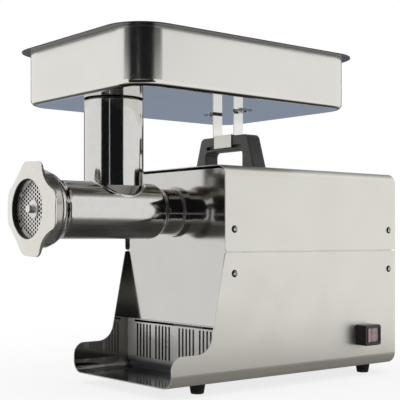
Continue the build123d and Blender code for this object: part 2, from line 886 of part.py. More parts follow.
# Ring nut: four lobes on a threaded ring, coned to the front and dished at the opening
with BuildPart() as ring_nut:
    with BuildSketch(front_plane(nut_y + nut_flange)) as lobes:
        with BuildLine():
            lobe_half = nut_lobe_width / 2
            hollow = nut_hollow_radius * cos(radians(45))
            for turn in range(4):
                lobe_end = quarter_turned(nut_lobe_radius, lobe_half, turn)
                Line(quarter_turned(nut_lobe_radius, -lobe_half, turn), lobe_end)
                ThreePointArc(
                    lobe_end,
                    quarter_turned(hollow, hollow, turn),
                    quarter_turned(lobe_half, nut_lobe_radius, turn),
                )
        make_face()
        fillet(lobes.vertices(), radius=nut_lobe_corner)
    extrude(amount=nut_flange)
    revolve(
        turned(
            [
                (nut_y, nut_rim_radius),
                (nut_y + 2 * nut_cone, cone_end_radius),
                (nut_y, cone_end_radius),
            ],
            axis_z,
        ),
        axis=shaft_line(axis_z),
        mode=Mode.SUBTRACT,
    )
    coned_face = ring_nut.faces().filter_by(GeomType.CONE).sort_by(Axis.Y)[0]
    fillet(coned_face.outer_wire().edges(), radius=nut_edge_round)
    fillet(ring_nut.faces().sort_by(Axis.Y)[-1].edges(), radius=edge_soft)
    revolve(
        ring(nut_y + nut_cone, nut_rear_y, nut_opening, nut_body_radius, axis_z),
        axis=shaft_line(axis_z),
    )
    nut_rear_face = ring_nut.faces().sort_by(Axis.Y)[-1]
    fillet(nut_rear_face.outer_wire().edges(), radius=nut_rear_round)
    revolve(
        turned(
            [
                (nut_y, 0),
                (nut_y, nut_opening + nut_dish_flare),
                (nut_y + nut_dish_depth, nut_opening),
                (plate_y, nut_opening),
                (plate_y, thread_radius + fit),
                (nut_rear_y, thread_radius + fit),
                (nut_rear_y, 0),
            ],
            axis_z,
        ),
        axis=shaft_line(axis_z),
        mode=Mode.SUBTRACT,
    )

# Grinder plate: columns of holes round a raised hub, notched for its pin
with BuildPart() as grinder_plate:
    revolve(ring(plate_y, plate_back_y, plate_bore, plate_radius, axis_z), axis=shaft_line(axis_z))
    revolve(
        ring(plate_y - plate_hub_rise, plate_y, plate_bore, plate_hub_radius, axis_z),
        axis=shaft_line(axis_z),
    )
    column_width = plate_hole_pitch * cos(radians(30))
    column_count = int(plate_hole_limit / column_width)
    row_count = int(plate_hole_limit / plate_hole_pitch) + 1
    hole_places = []
    for column in range(-column_count, column_count + 1):
        for row in range(-row_count, row_count + 1):
            x = column * column_width
            z = (row + (column % 2) / 2) * plate_hole_pitch
            if plate_hub_radius + plate_hole_radius < (x * x + z * z) ** 0.5 < plate_hole_limit:
                hole_places.append((x, axis_z + z))
    with BuildSketch(front_plane(plate_back_y)):
        with Locations(*hole_places):
            Circle(plate_hole_radius)
        with Locations((0, axis_z + plate_seat_radius)):
            Circle(plate_pin_radius + slip)
    extrude(amount=plate_thick, mode=Mode.SUBTRACT)

# Plate pin: pressed into the barrel's front end, keeps the plate from turning
with BuildPart() as plate_pin:
    with BuildSketch(front_plane(barrel_end_y + plate_pin_length)):
        with Locations((0, axis_z + plate_seat_radius)):
            Circle(plate_pin_radius)
    extrude(amount=plate_pin_length)

# Knife: four arms on a hub with a square hole
with BuildPart() as knife:
    with BuildSketch(front_plane(knife_back_y)):
        with Locations((0, axis_z)):
            Circle(knife_hub_radius)
            Rectangle(2 * knife_radius, knife_arm_width)
            Rectangle(knife_arm_width, 2 * knife_radius)
            Rectangle(knife_square + 2 * fit, knife_square + 2 * fit, mode=Mode.SUBTRACT)
    extrude(amount=knife_thick)
    knife_back = knife.faces().sort_by(Axis.Y)[-1]
    chamfer(knife_back.outer_wire().edges().filter_by(GeomType.LINE), length=knife_chamfer)

# Auger: tapered core with one helical flight, rear journal and square tang
auger_front_y = knife_back_y
auger_shoulder_y = rear_wall_y - washer_thick
flight_length = auger_shoulder_y - auger_front_y - 2 * flight_front_gap
with BuildPart() as auger:
    with BuildLine():
        flight_path = Helix(
            auger_pitch,
            flight_length,
            flight_root,
            center=(0, auger_front_y + flight_front_gap, axis_z),
            direction=(0, 1, 0),
        )
    flight_start = flight_path @ 0
    outward = (flight_start - Vector(0, flight_start.Y, axis_z)).normalized()
    with BuildSketch(Plane(origin=flight_start, x_dir=outward, z_dir=flight_path % 0)):
        with BuildLine():
            Polyline(
                (0, -flight_thick_root / 2),
                (auger_radius - flight_root, -flight_thick_tip / 2),
                (auger_radius - flight_root, flight_thick_tip / 2),
                (0, flight_thick_root / 2),
                close=True,
            )
        make_face()
    sweep(path=flight_path, is_frenet=True)
    revolve(
        turned(
            [
                (auger_front_y, 0),
                (auger_front_y, auger_core_front),
                (auger_shoulder_y, auger_core_rear),
                (auger_shoulder_y, journal_bore - fit),
                (front_y + tang_start, journal_bore - fit),
                (front_y + tang_start, 0),
            ],
            axis_z,
        ),
        axis=shaft_line(axis_z),
    )
    with BuildSketch(front_plane(front_y + tang_end)):
        with Locations((0, axis_z)):
            Rectangle(tang_square, tang_square)
    extrude(amount=tang_end - tang_start)
    with BuildSketch(front_plane(auger_front_y + knife_thick)):
        with Locations((0, axis_z)):
            Circle(stud_radius + seat)
    extrude(amount=knife_thick, mode=Mode.SUBTRACT)

# Auger stud: carries the knife on its square and runs in the plate's centre hole
with BuildPart() as auger_stud:
    with BuildSketch(front_plane(auger_front_y + knife_thick)):
        with Locations((0, axis_z)):
            Circle(stud_radius)
    extrude(amount=auger_front_y + knife_thick - plate_y + stud_proud + plate_hub_rise)
    fillet(auger_stud.faces().sort_by(Axis.Y)[0].edges(), radius=edge_soft)
    with BuildSketch(front_plane(knife_back_y)):
        with Locations((0, axis_z)):
            Rectangle(knife_square, knife_square)
    extrude(amount=knife_thick)

# Thrust washer between the auger's shoulder and the barrel's rear wall
with BuildPart() as thrust_washer:
    revolve(
        ring(auger_shoulder_y, rear_wall_y - slip, journal_bore + fit, washer_radius, axis_z),
        axis=shaft_line(axis_z),
    )

# Head socket: tube through the front panel, flanged onto the gearbox, with the lock screw's boss
with BuildPart() as head_socket:
    with BuildSketch(lock_plane):
        Circle(lock_boss_radius)
    extrude(amount=lock_boss_length)
    revolve(
        ring(front_y - neck_reach + slip, gearbox_y, spigot_radius, socket_radius, axis_z),
        axis=shaft_line(axis_z),
    )
    socket_front = head_socket.faces().sort_by(Axis.Y)[0]
    chamfer(
        socket_front.outer_wire().edges(),
        length=socket_bevel,
        length2=socket_bevel_depth,
        reference=socket_front,
    )
    revolve(
        ring(gearbox_y - socket_flange_thick, gearbox_y, spigot_radius, socket_flange_radius, axis_z),
        axis=shaft_line(axis_z),
    )
    revolve(
        turned(
            [
                (front_y - lock_boss_length, 0),
                (front_y - lock_boss_length, neck_radius + neck_room),
                (front_y - neck_reach + slip, neck_radius + neck_room),
                (front_y - neck_reach + slip, spigot_radius + fit),
                (gearbox_y, spigot_radius + fit),
                (gearbox_y, 0),
            ],
            axis_z,
        ),
        axis=shaft_line(axis_z),
        mode=Mode.SUBTRACT,
    )
    with BuildSketch(front_plane(gearbox_y)):
        with Locations((0, axis_z)):
            with PolarLocations(socket_screw_circle, flange_screws, start_angle=180 / flange_screws):
                Circle(socket_screw_radius + seat)
    extrude(amount=socket_flange_thick, mode=Mode.SUBTRACT)
    with BuildSketch(lock_plane):
        Circle(lock_screw_radius + seat)
    extrude(amount=lock_boss_length, mode=Mode.SUBTRACT)

with BuildPart() as socket_screw:
    with BuildSketch(Plane.XY):
        Circle(socket_screw_radius)
    extrude(amount=-socket_screw_length)
    with BuildSketch(Plane.XY):
        Circle(socket_screw_head)
        RegularPolygon(socket_screw_hex, 6, mode=Mode.SUBTRACT)
    extrude(amount=socket_screw_head_height)
    with BuildSketch(Plane.XY):
        Circle(socket_screw_head)
    extrude(amount=socket_screw_head_height / 2)

with BuildPart() as socket_screws:
    with Locations(Location((0, gearbox_y - socket_flange_thick, axis_z), (90, 0, 0))):
        with PolarLocations(socket_screw_circle, flange_screws, start_angle=180 / flange_screws):
            add(socket_screw.part)

# Lock screw and knob: clamp the spigot in the socket
with BuildPart() as lock_screw:
    knob_start = lock_boss_length + lock_knob_gap
    with BuildSketch(lock_plane.offset(lock_tip_gap + lock_tip_length)):
        Circle(lock_screw_radius)
    extrude(amount=knob_start + lock_thread_in_knob - lock_tip_gap - lock_tip_length)
    with BuildSketch(lock_plane.offset(lock_tip_gap)):
        Circle(lock_tip_radius)
    with BuildSketch(lock_plane.offset(lock_tip_gap + lock_tip_length)):
        Circle(lock_screw_radius)
    loft()

with BuildPart() as lock_knob:
    with BuildSketch(lock_plane.offset(knob_start)):
        Circle(lock_knob_radius)
        with PolarLocations(lock_knob_radius + lock_knob_scallop / 2, lock_knob_lobes):
            Circle(lock_knob_scallop, mode=Mode.SUBTRACT)
    extrude(amount=lock_knob_length)
    fillet(lock_knob.faces().sort_by(Axis(lock_origin, lock_outward))[-1].edges(), radius=edge_soft)
    with BuildSketch(lock_plane.offset(knob_start)):
        Circle(lock_screw_radius + seat)
    extrude(amount=lock_thread_in_knob, mode=Mode.SUBTRACT)

# Gearbox housing: casting round the gear train, open at the rear, on a pedestal bolted to the floor
outer_radii = (
    output_tip + gear_room + gearbox_wall,
    intermediate_tip + gear_room + gearbox_wall,
    motor_flange_radius,
)
inner_radii = (output_tip + gear_room, intermediate_tip + gear_room, motor_pinion_room)
cover_bolt_places = []
for side in (-1, 1):
    angle = radians(gearbox_bolt_angle)
    reach = outer_radii[0] - gearbox_wall / 2
    cover_bolt_places.append((side * reach * cos(angle), axis_z + reach * sin(angle)))
    cover_bolt_places.append((side * (outer_radii[0] - gearbox_bolt_inset), pinion_z + gearbox_bolt_rise))
boss_rear_y = front_y + output_bearing_front + output_bearing_width
pinion_boss_rear_y = front_y + pinion_bearing_front + bearing_width
with BuildPart() as gearbox_housing:
    extrude(gearbox_outline(gearbox_rear_y, outer_radii), amount=gearbox_rear_y - gearbox_y)
    extrude(
        gearbox_outline(gearbox_rear_y, inner_radii),
        amount=gearbox_rear_y - gearbox_y - gearbox_front_wall,
        mode=Mode.SUBTRACT,
    )
    revolve(
        ring(gearbox_y, boss_rear_y, 0, output_bearing_radius + bearing_boss_wall, axis_z),
        axis=shaft_line(axis_z),
    )
    revolve(
        ring(gearbox_y, pinion_boss_rear_y, 0, pinion_bearing_radius + bearing_boss_wall, pinion_z),
        axis=shaft_line(pinion_z),
    )
    with BuildSketch(Plane.XY.offset(floor_z)):
        with Locations((0, front_y + (pedestal_front + pedestal_rear) / 2)):
            Rectangle(2 * pedestal_half, pedestal_rear - pedestal_front)
    extrude(amount=motor_z - motor_pinion_room - gearbox_wall - floor_z)
    with BuildSketch(Plane.XY.offset(floor_z)):
        with Locations((0, front_y + (pedestal_foot_front + pedestal_foot_rear) / 2)):
            Rectangle(2 * pedestal_foot_half, pedestal_foot_rear - pedestal_foot_front)
        with Locations(*pedestal_bolt_places):
            Circle(bolt_radius + seat, mode=Mode.SUBTRACT)
    extrude(amount=pedestal_foot_thick)
    revolve(
        turned(
            [
                (gearbox_y, 0),
                (gearbox_y, output_cup_radius + shaft_room),
                (front_y + output_bearing_front, output_cup_radius + shaft_room),
                (front_y + output_bearing_front, output_bearing_radius + seat),
                (boss_rear_y, output_bearing_radius + seat),
                (boss_rear_y, 0),
            ],
            axis_z,
        ),
        axis=shaft_line(axis_z),
        mode=Mode.SUBTRACT,
    )
    revolve(
        ring(front_y + pinion_bearing_front, pinion_boss_rear_y, 0, pinion_bearing_radius + seat, pinion_z),
        axis=shaft_line(pinion_z),
        mode=Mode.SUBTRACT,
    )
    with BuildSketch(front_plane(gearbox_y + socket_screw_length - socket_flange_thick)):
        with Locations((0, axis_z)):
            with PolarLocations(socket_screw_circle, flange_screws, start_angle=180 / flange_screws):
                Circle(socket_screw_radius + seat)
    extrude(amount=socket_screw_length - socket_flange_thick, mode=Mode.SUBTRACT)
    with BuildSketch(front_plane(gearbox_rear_y)):
        with Locations(*cover_bolt_places):
            Circle(gearbox_bolt_radius + seat)
    extrude(amount=gearbox_bolt_length - gearbox_cover_thick, mode=Mode.SUBTRACT)

# Gearbox cover: rear wall of the gearbox with bearing pockets, carries the motor
pocket_y = gearbox_rear_y + bearing_width
motor_pocket_y = motor_y - bearing_width
with BuildPart() as gearbox_cover:
    extrude(gearbox_outline(motor_y, outer_radii), amount=gearbox_cover_thick)
    for height, radius in ((axis_z, tail_bearing_radius), (pinion_z, pinion_bearing_radius)):
        revolve(
            ring(gearbox_rear_y, pocket_y, 0, radius + seat, height),
            axis=shaft_line(height),
            mode=Mode.SUBTRACT,
        )
    revolve(
        turned(
            [
                (gearbox_rear_y, 0),
                (gearbox_rear_y, motor_shaft_radius + shaft_room),
                (motor_pocket_y, motor_shaft_radius + shaft_room),
                (motor_pocket_y, motor_bearing_radius + seat),
                (motor_y, motor_bearing_radius + seat),
                (motor_y, 0),
            ],
            motor_z,
        ),
        axis=shaft_line(motor_z),
        mode=Mode.SUBTRACT,
    )
    with BuildSketch(front_plane(motor_y)):
        with Locations(*cover_bolt_places):
            Circle(gearbox_bolt_radius + seat)
    extrude(amount=gearbox_cover_thick, mode=Mode.SUBTRACT)
    with BuildSketch(front_plane(motor_y)):
        with Locations((0, motor_z)):
            with PolarLocations(motor_screw_circle, flange_screws, start_angle=180 / flange_screws):
                Circle(motor_screw_radius + seat)
    extrude(amount=motor_screw_length - motor_flange_thick, mode=Mode.SUBTRACT)

with BuildPart() as gearbox_bolts:
    with BuildSketch(front_plane(motor_y)):
        with Locations(*cover_bolt_places):
            Circle(gearbox_bolt_radius)
    extrude(amount=gearbox_bolt_length)
    with BuildSketch(front_plane(motor_y)):
        with Locations(*cover_bolt_places):
            RegularPolygon(gearbox_bolt_head, 6)
    extrude(amount=-gearbox_bolt_head)

with BuildPart() as pedestal_bolts:
    with BuildSketch(Plane.XY.offset(foot_height)):
        with Locations(*pedestal_bolt_places):
            RegularPolygon(bolt_head_radius, 6)
    extrude(amount=-bolt_head_height)
    with BuildSketch(Plane.XY.offset(foot_height)):
        with Locations(*pedestal_bolt_places):
            Circle(bolt_radius)
    extrude(amount=sheet + pedestal_foot_thick)
    with BuildSketch(Plane.XY.offset(floor_z + pedestal_foot_thick)):
        with Locations(*pedestal_bolt_places):
            RegularPolygon(bolt_head_radius, 6)
    extrude(amount=bolt_head_height)

# Output shaft: cup with a square hole for the auger's tang, running back through the gear
output_cup_bottom_y = front_y + tang_end + output_cup_room
with BuildPart() as output_shaft:
    revolve(
        turned(
            [
                (front_y + output_cup_front, 0),
                (front_y + output_cup_front, output_cup_radius),
                (front_y + output_cup_rear, output_cup_radius),
                (front_y + output_cup_rear, output_shaft_radius),
                (pocket_y - slip, output_shaft_radius),
                (pocket_y - slip, 0),
            ],
            axis_z,
        ),
        axis=shaft_line(axis_z),
    )
    with BuildSketch(front_plane(output_cup_bottom_y)):
        with Locations((0, axis_z)):
            Rectangle(tang_square + 2 * tang_play, tang_square + 2 * tang_play)
    extrude(amount=tang_end + output_cup_room - output_cup_front, mode=Mode.SUBTRACT)

with BuildPart() as output_gear:
    extrude(
        gear_outline(output_teeth, module_slow, front_plane(output_gear_rear_y), axis_z, -90),
        amount=output_gear_width,
    )
    revolve(
        ring(
            front_y + output_gear_front,
            output_gear_rear_y,
            0,
            output_shaft_radius + seat,
            axis_z,
        ),
        axis=shaft_line(axis_z),
        mode=Mode.SUBTRACT,
    )

# Pinion shaft with its teeth, and the intermediate gear pressed on it
pinion_shaft_front_y = front_y + pinion_bearing_front + slip
with BuildPart() as pinion_shaft:
    extrude(
        gear_outline(
            pinion_teeth,
            module_slow,
            front_plane(output_gear_rear_y + pinion_extra),
            pinion_z,
            90 + 180 / pinion_teeth,
        ),
        amount=output_gear_width + 2 * pinion_extra,
    )
    revolve(
        ring(pinion_shaft_front_y, pocket_y - slip, 0, pinion_shaft_radius, pinion_z),
        axis=shaft_line(pinion_z),
    )

with BuildPart() as intermediate_gear:
    extrude(
        gear_outline(intermediate_teeth, module_fast, front_plane(intermediate_rear_y), pinion_z, -90),
        amount=intermediate_width,
    )
    revolve(
        ring(intermediate_y, intermediate_rear_y, 0, pinion_shaft_radius + seat, pinion_z),
        axis=shaft_line(pinion_z),
        mode=Mode.SUBTRACT,
    )

# Bearings, drawn as sealed rings
with BuildPart() as output_bearings:
    revolve(
        ring(
            front_y + output_bearing_front,
            boss_rear_y,
            output_cup_radius + fit,
            output_bearing_radius,
            axis_z,
        ),
        axis=shaft_line(axis_z),
    )
    revolve(
        ring(gearbox_rear_y, pocket_y, output_shaft_radius + fit, tail_bearing_radius, axis_z),
        axis=shaft_line(axis_z),
    )

with BuildPart() as pinion_bearings:
    revolve(
        ring(
            front_y + pinion_bearing_front,
            pinion_boss_rear_y,
            pinion_shaft_radius + fit,
            pinion_bearing_radius,
            pinion_z,
        ),
        axis=shaft_line(pinion_z),
    )
    revolve(
        ring(gearbox_rear_y, pocket_y, pinion_shaft_radius + fit, pinion_bearing_radius, pinion_z),
        axis=shaft_line(pinion_z),
    )

# Motor: flanged can, stator, windings, rotor on its shaft, fan and rear end cap
motor_rear_y = motor_y + motor_length
rear_bearing_y = motor_rear_y + end_cap_thick - slip - bearing_width
motor_line = shaft_line(motor_z)
with BuildPart() as motor_housing:
    revolve(ring(motor_y, motor_rear_y, motor_radius - motor_wall, motor_radius, motor_z), axis=motor_line)
    revolve(
        ring(motor_y, motor_y + motor_flange_thick, motor_radius - motor_wall, motor_flange_radius, motor_z),
        axis=motor_line,
    )
    with BuildSketch(front_plane(motor_y + motor_flange_thick)):
        with Locations((0, motor_z)):
            with PolarLocations(motor_screw_circle, flange_screws, start_angle=180 / flange_screws):
                Circle(motor_screw_radius + seat)
    extrude(amount=motor_flange_thick, mode=Mode.SUBTRACT)
    with BuildSketch(front_plane(motor_rear_y)):
        with Locations((0, motor_z)):
            with PolarLocations(motor_radius - motor_wall / 2, flange_screws):
                Circle(end_cap_screw_radius + seat)
    extrude(amount=end_cap_screw_length - end_cap_thick, mode=Mode.SUBTRACT)

with BuildPart() as motor_screws:
    with BuildSketch(front_plane(motor_y + motor_flange_thick)):
        with Locations((0, motor_z)):
            with PolarLocations(motor_screw_circle, flange_screws, start_angle=180 / flange_screws):
                Circle(motor_screw_radius)
    extrude(amount=motor_screw_length)
    with BuildSketch(front_plane(motor_y + motor_flange_thick)):
        with Locations((0, motor_z)):
            with PolarLocations(motor_screw_circle, flange_screws, start_angle=180 / flange_screws):
                RegularPolygon(gearbox_bolt_head, 6)
    extrude(amount=-gearbox_bolt_head)

stator_y = motor_y + stator_start
stator_rear_y = motor_rear_y - stator_rear_room
can_bore = motor_radius - motor_wall
with BuildPart() as stator_core:
    revolve(
        ring(stator_y, stator_rear_y, stator_bore, can_bore - seat, motor_z),
        axis=motor_line,
    )

with BuildPart() as stator_windings:
    for start in (stator_y - winding_length, stator_rear_y):
        revolve(
            ring(start, start + winding_length, winding_inner, can_bore - winding_gap, motor_z),
            axis=motor_line,
        )

motor_pinion_rear_y = intermediate_rear_y + pinion_extra
with BuildPart() as motor_shaft:
    extrude(
        gear_outline(
            motor_teeth,
            module_fast,
            front_plane(motor_pinion_rear_y),
            motor_z,
            90 + 180 / motor_teeth,
        ),
        amount=intermediate_width + 2 * pinion_extra,
    )
    revolve(
        ring(motor_pinion_rear_y, rear_bearing_y + bearing_width - slip, 0, motor_shaft_radius, motor_z),
        axis=motor_line,
    )

with BuildPart() as rotor_core:
    revolve(
        ring(stator_y, stator_rear_y, motor_shaft_radius + seat, stator_bore - rotor_gap, motor_z),
        axis=motor_line,
    )

fan_y = motor_rear_y - end_cap_boss - fan_rear_gap - fan_length
fan_radius = can_bore - fan_tip_gap
with BuildPart() as cooling_fan:
    revolve(
        ring(fan_y, fan_y + fan_length, motor_shaft_radius + seat, fan_hub_radius, motor_z),
        axis=motor_line,
    )
    revolve(
        ring(fan_y, fan_y + fan_disc, motor_shaft_radius + seat, fan_radius, motor_z),
        axis=motor_line,
    )
    with BuildSketch(front_plane(fan_y + fan_length)):
        with Locations((0, motor_z)):
            with PolarLocations((fan_radius + fan_hub_radius) / 2 - edge_soft, fan_blades):
                Rectangle(fan_radius - fan_hub_radius, fan_blade_thick)
    extrude(amount=fan_length)

with BuildPart() as motor_end_cap:
    revolve(
        ring(motor_rear_y, motor_rear_y + end_cap_thick, 0, motor_radius, motor_z),
        axis=motor_line,
    )
    revolve(
        ring(motor_rear_y - end_cap_boss, motor_rear_y, 0, end_cap_boss_radius, motor_z),
        axis=motor_line,
    )
    revolve(
        turned(
            [
                (motor_rear_y - end_cap_boss, 0),
                (motor_rear_y - end_cap_boss, motor_bearing_radius + seat),
                (rear_bearing_y + bearing_width, motor_bearing_radius + seat),
                (rear_bearing_y + bearing_width, 0),
            ],
            motor_z,
        ),
        axis=motor_line,
        mode=Mode.SUBTRACT,
    )
    with BuildSketch(front_plane(motor_rear_y + end_cap_thick)):
        with Locations((0, motor_z)):
            with PolarLocations(end_cap_vent_circle, end_cap_vents, start_angle=180 / end_cap_vents):
                Circle(end_cap_vent_radius)
            with PolarLocations(motor_radius - motor_wall / 2, flange_screws):
                Circle(end_cap_screw_radius + seat)
    extrude(amount=end_cap_thick, mode=Mode.SUBTRACT)

with BuildPart() as end_cap_screws:
    with BuildSketch(front_plane(motor_rear_y + end_cap_thick)):
        with Locations((0, motor_z)):
            with PolarLocations(motor_radius - motor_wall / 2, flange_screws):
                Circle(end_cap_screw_radius)
    extrude(amount=end_cap_screw_length)
    with BuildSketch(front_plane(motor_rear_y + end_cap_thick)):
        with Locations((0, motor_z)):
            with PolarLocations(motor_radius - motor_wall / 2, flange_screws):
                Circle(end_cap_screw_head)
    extrude(amount=-end_cap_screw_head)

with BuildPart() as motor_bearings:
    for start in (motor_pocket_y, rear_bearing_y):
        revolve(
            ring(start, start + bearing_width, motor_shaft_radius + fit, motor_bearing_radius, motor_z),
            axis=motor_line,
        )

# Motor cradle: upright plate hollowed for the can, with a foot riveted to the floor
cradle_y = motor_rear_y - cradle_inset
with BuildPart() as motor_cradle:
    with BuildSketch(front_plane(cradle_y + cradle_thick)):
        with Locations((0, floor_z)):
            Rectangle(2 * cradle_half, motor_z - floor_z, align=(Align.CENTER, Align.MIN))
        with Locations((0, motor_z)):
            Circle(motor_radius + seat, mode=Mode.SUBTRACT)
    extrude(amount=cradle_thick)
    with BuildSketch(Plane.XY.offset(floor_z)):
        with Locations((0, cradle_y)):
            Rectangle(2 * cradle_half, cradle_foot_depth, align=(Align.CENTER, Align.MIN))
    extrude(amount=cradle_thick)

# Capacitor lying on the floor beside the motor, held by a clip
capacitor_x = capacitor_inset - half_inside
capacitor_z = floor_z + clip_thick + capacitor_radius
capacitor_y = front_y + capacitor_front
clip_y = capacitor_y + capacitor_length / 2
with BuildPart() as capacitor:
    with BuildSketch(front_plane(capacitor_y + capacitor_length)):
        with Locations((capacitor_x, capacitor_z)):
            Circle(capacitor_radius)
    extrude(amount=capacitor_length)
    fillet(capacitor.edges(), radius=capacitor_round)

with BuildPart() as capacitor_clip:
    with BuildSketch(front_plane(clip_y + clip_width / 2)):
        with Locations((capacitor_x, capacitor_z)):
            Circle(capacitor_radius + clip_thick)
        with Locations((capacitor_x, floor_z)):
            Rectangle(
                2 * capacitor_radius + clip_tab,
                clip_thick,
                align=(Align.CENTER, Align.MIN),
            )
        with Locations((capacitor_x, capacitor_z)):
            Circle(capacitor_radius + seat, mode=Mode.SUBTRACT)
    extrude(amount=clip_width)

# Switch: guard on the side wall with the switch body behind it, and a rocker on its pin
with BuildPart() as switch_housing:
    with BuildSketch(side_plane(body_width / 2)):
        with Locations((switch_y, switch_z)):
            RectangleRounded(switch_length, switch_height, switch_corner)
    extrude(amount=switch_proud)
    fillet(switch_housing.faces().sort_by(Axis.X)[-1].edges(), radius=edge_round)
    with BuildSketch(side_plane(body_width / 2)):
        with Locations((switch_y, switch_z)):
            Rectangle(switch_body_length, switch_body_height)
    extrude(amount=-switch_body_depth)
    with BuildSketch(side_plane(switch_face_x)):
        with Locations((switch_y, switch_z)):
            Rectangle(rocker_length + 2 * rocker_recess_gap, rocker_height + 2 * rocker_side_gap)
    extrude(amount=-rocker_recess_depth, mode=Mode.SUBTRACT)
    with BuildSketch(Plane.XY.offset(switch_z - rocker_height / 2 - rocker_pin_proud - slip)):
        with Locations((rocker_x, switch_y)):
            Circle(rocker_pin_radius + fit)
    extrude(amount=rocker_height + 2 * (rocker_pin_proud + slip), mode=Mode.SUBTRACT)

with BuildPart() as switch_rocker:
    tilt_plane = Plane(
        origin=(rocker_x, switch_y, switch_z - rocker_height / 2),
        x_dir=(cos(radians(rocker_tilt)), sin(radians(rocker_tilt)), 0),
        z_dir=(0, 0, 1),
    )
    with BuildSketch(tilt_plane):
        with BuildLine():
            Polyline(
                (-rocker_under, -rocker_length / 2 + rocker_under),
                (0, -rocker_length / 2),
                (rocker_end_rise, -rocker_length / 2),
                (rocker_middle_rise, 0),
                (rocker_end_rise, rocker_length / 2),
                (0, rocker_length / 2),
                (-rocker_under, rocker_length / 2 - rocker_under),
                close=True,
            )
        make_face()
    extrude(amount=rocker_height)
    with BuildSketch(tilt_plane.offset(-rocker_pin_proud)):
        Circle(rocker_pin_radius)
    extrude(amount=rocker_height + 2 * rocker_pin_proud)

# Cord gland in the rear panel
with BuildPart() as cord_gland:
    with BuildSketch(front_plane(rear_panel_y + gland_flange)):
        with Locations((gland_x, gland_z)):
            Circle(gland_flange_radius)
    extrude(amount=gland_flange)
    with BuildSketch(front_plane(rear_panel_y)):
        with Locations((gland_x, gland_z)):
            Circle(gland_radius)
    extrude(amount=sheet)
    with BuildSketch(front_plane(rear_panel_y - sheet)):
        with Locations((gland_x, gland_z)):
            RegularPolygon(gland_nut_radius, 6)
    extrude(amount=gland_nut)
    with BuildSketch(front_plane(rear_panel_y + gland_flange)):
        with Locations((gland_x, gland_z)):
            Circle(gland_bore)
    extrude(amount=gland_flange + sheet + gland_nut, mode=Mode.SUBTRACT)

# Circuit breaker behind the rear panel, with a button that pops out
button_front_y = rear_panel_y + breaker_neck + button_proud - button_tail
with BuildPart() as circuit_breaker:
    with BuildSketch(front_plane(rear_panel_y - sheet)):
        with Locations((breaker_x, breaker_z)):
            Circle(breaker_radius)
    extrude(amount=breaker_depth)
    with BuildSketch(front_plane(rear_panel_y + breaker_neck)):
        with Locations((breaker_x, breaker_z)):
            Circle(breaker_neck_radius)
    extrude(amount=breaker_neck + sheet)
    with BuildSketch(front_plane(rear_panel_y + breaker_neck)):
        with Locations((breaker_x, breaker_z)):
            Circle(button_radius + fit)
    extrude(amount=button_tail - button_proud + button_travel + slip, mode=Mode.SUBTRACT)

with BuildPart() as reset_button:
    with BuildSketch(front_plane(button_front_y + button_tail)):
        with Locations((breaker_x, breaker_z)):
            Circle(button_radius)
    extrude(amount=button_tail)
    fillet(reset_button.faces().sort_by(Axis.Y)[-1].edges(), radius=edge_soft)

# Meat pan: pressed tray with a flat rim, and a spout that goes into the throat
spout_radius = throat_bore - spout_gap
rivet_places = [
    (x, bracket_y + bracket_depth / 2 + offset_y)
    for x in (-bracket_half - bracket_flange / 2, bracket_half + bracket_flange / 2)
    for offset_y in (-rivet_spacing / 2, rivet_spacing / 2)
]
with BuildPart() as meat_pan:
    with BuildSketch(Plane.XY.offset(pan_z)):
        with Locations((0, pan_y)):
            RectangleRounded(pan_width, pan_length, pan_corner)
    extrude(amount=pan_rim_z - pan_z)
    fillet(meat_pan.faces().sort_by(Axis.Z)[0].edges(), radius=pan_bend)
    offset(amount=-pan_sheet, openings=meat_pan.faces().sort_by(Axis.Z)[-1])
    with BuildSketch(Plane.XY.offset(pan_rim_z)):
        with Locations((0, pan_y)):
            RectangleRounded(
                pan_width + 2 * rim_width, pan_length + 2 * rim_width, pan_corner + rim_width
            )
            RectangleRounded(
                pan_width - 2 * pan_sheet,
                pan_length - 2 * pan_sheet,
                pan_corner - pan_sheet,
                mode=Mode.SUBTRACT,
            )
    extrude(amount=-pan_sheet)
    with BuildSketch(Plane.XY.offset(pan_z + pan_sheet)):
        with Locations((0, throat_y)):
            Circle(spout_radius)
    extrude(amount=-spout_length)
    with BuildSketch(Plane.XY.offset(pan_z + pan_sheet)):
        with Locations((0, throat_y)):
            Circle(spout_radius - spout_wall)
        with Locations(*rivet_places):
            Circle(rivet_radius + seat)
    extrude(amount=-spout_length, mode=Mode.SUBTRACT)

# Pan bracket: hat section standing on the handle, with a tab in front of the grip
bracket_foot_z = handle_top + slip
with BuildPart() as pan_bracket:
    right_edge = [
        (bracket_half, bracket_foot_z),
        (bracket_half, pan_z - bracket_sheet),
        (bracket_half + bracket_flange, pan_z - bracket_sheet),
        (bracket_half + bracket_flange, pan_z),
        (bracket_half - bracket_sheet, pan_z),
        (bracket_half - bracket_sheet, bracket_foot_z + bracket_sheet),
    ]
    with BuildSketch(front_plane(bracket_y + bracket_depth)):
        with BuildLine():
            Polyline(right_edge + [(-x, z) for x, z in reversed(right_edge)], close=True)
        make_face()
    extrude(amount=bracket_depth)
    with BuildSketch(front_plane(bracket_y)):
        with Locations((0, bracket_foot_z + bracket_sheet)):
            Rectangle(2 * tab_half, tab_height, align=(Align.CENTER, Align.MAX))
    extrude(amount=bracket_sheet)
    with BuildSketch(Plane.XY.offset(pan_z)):
        with Locations(*rivet_places):
            Circle(rivet_radius + seat)
    extrude(amount=-bracket_sheet, mode=Mode.SUBTRACT)

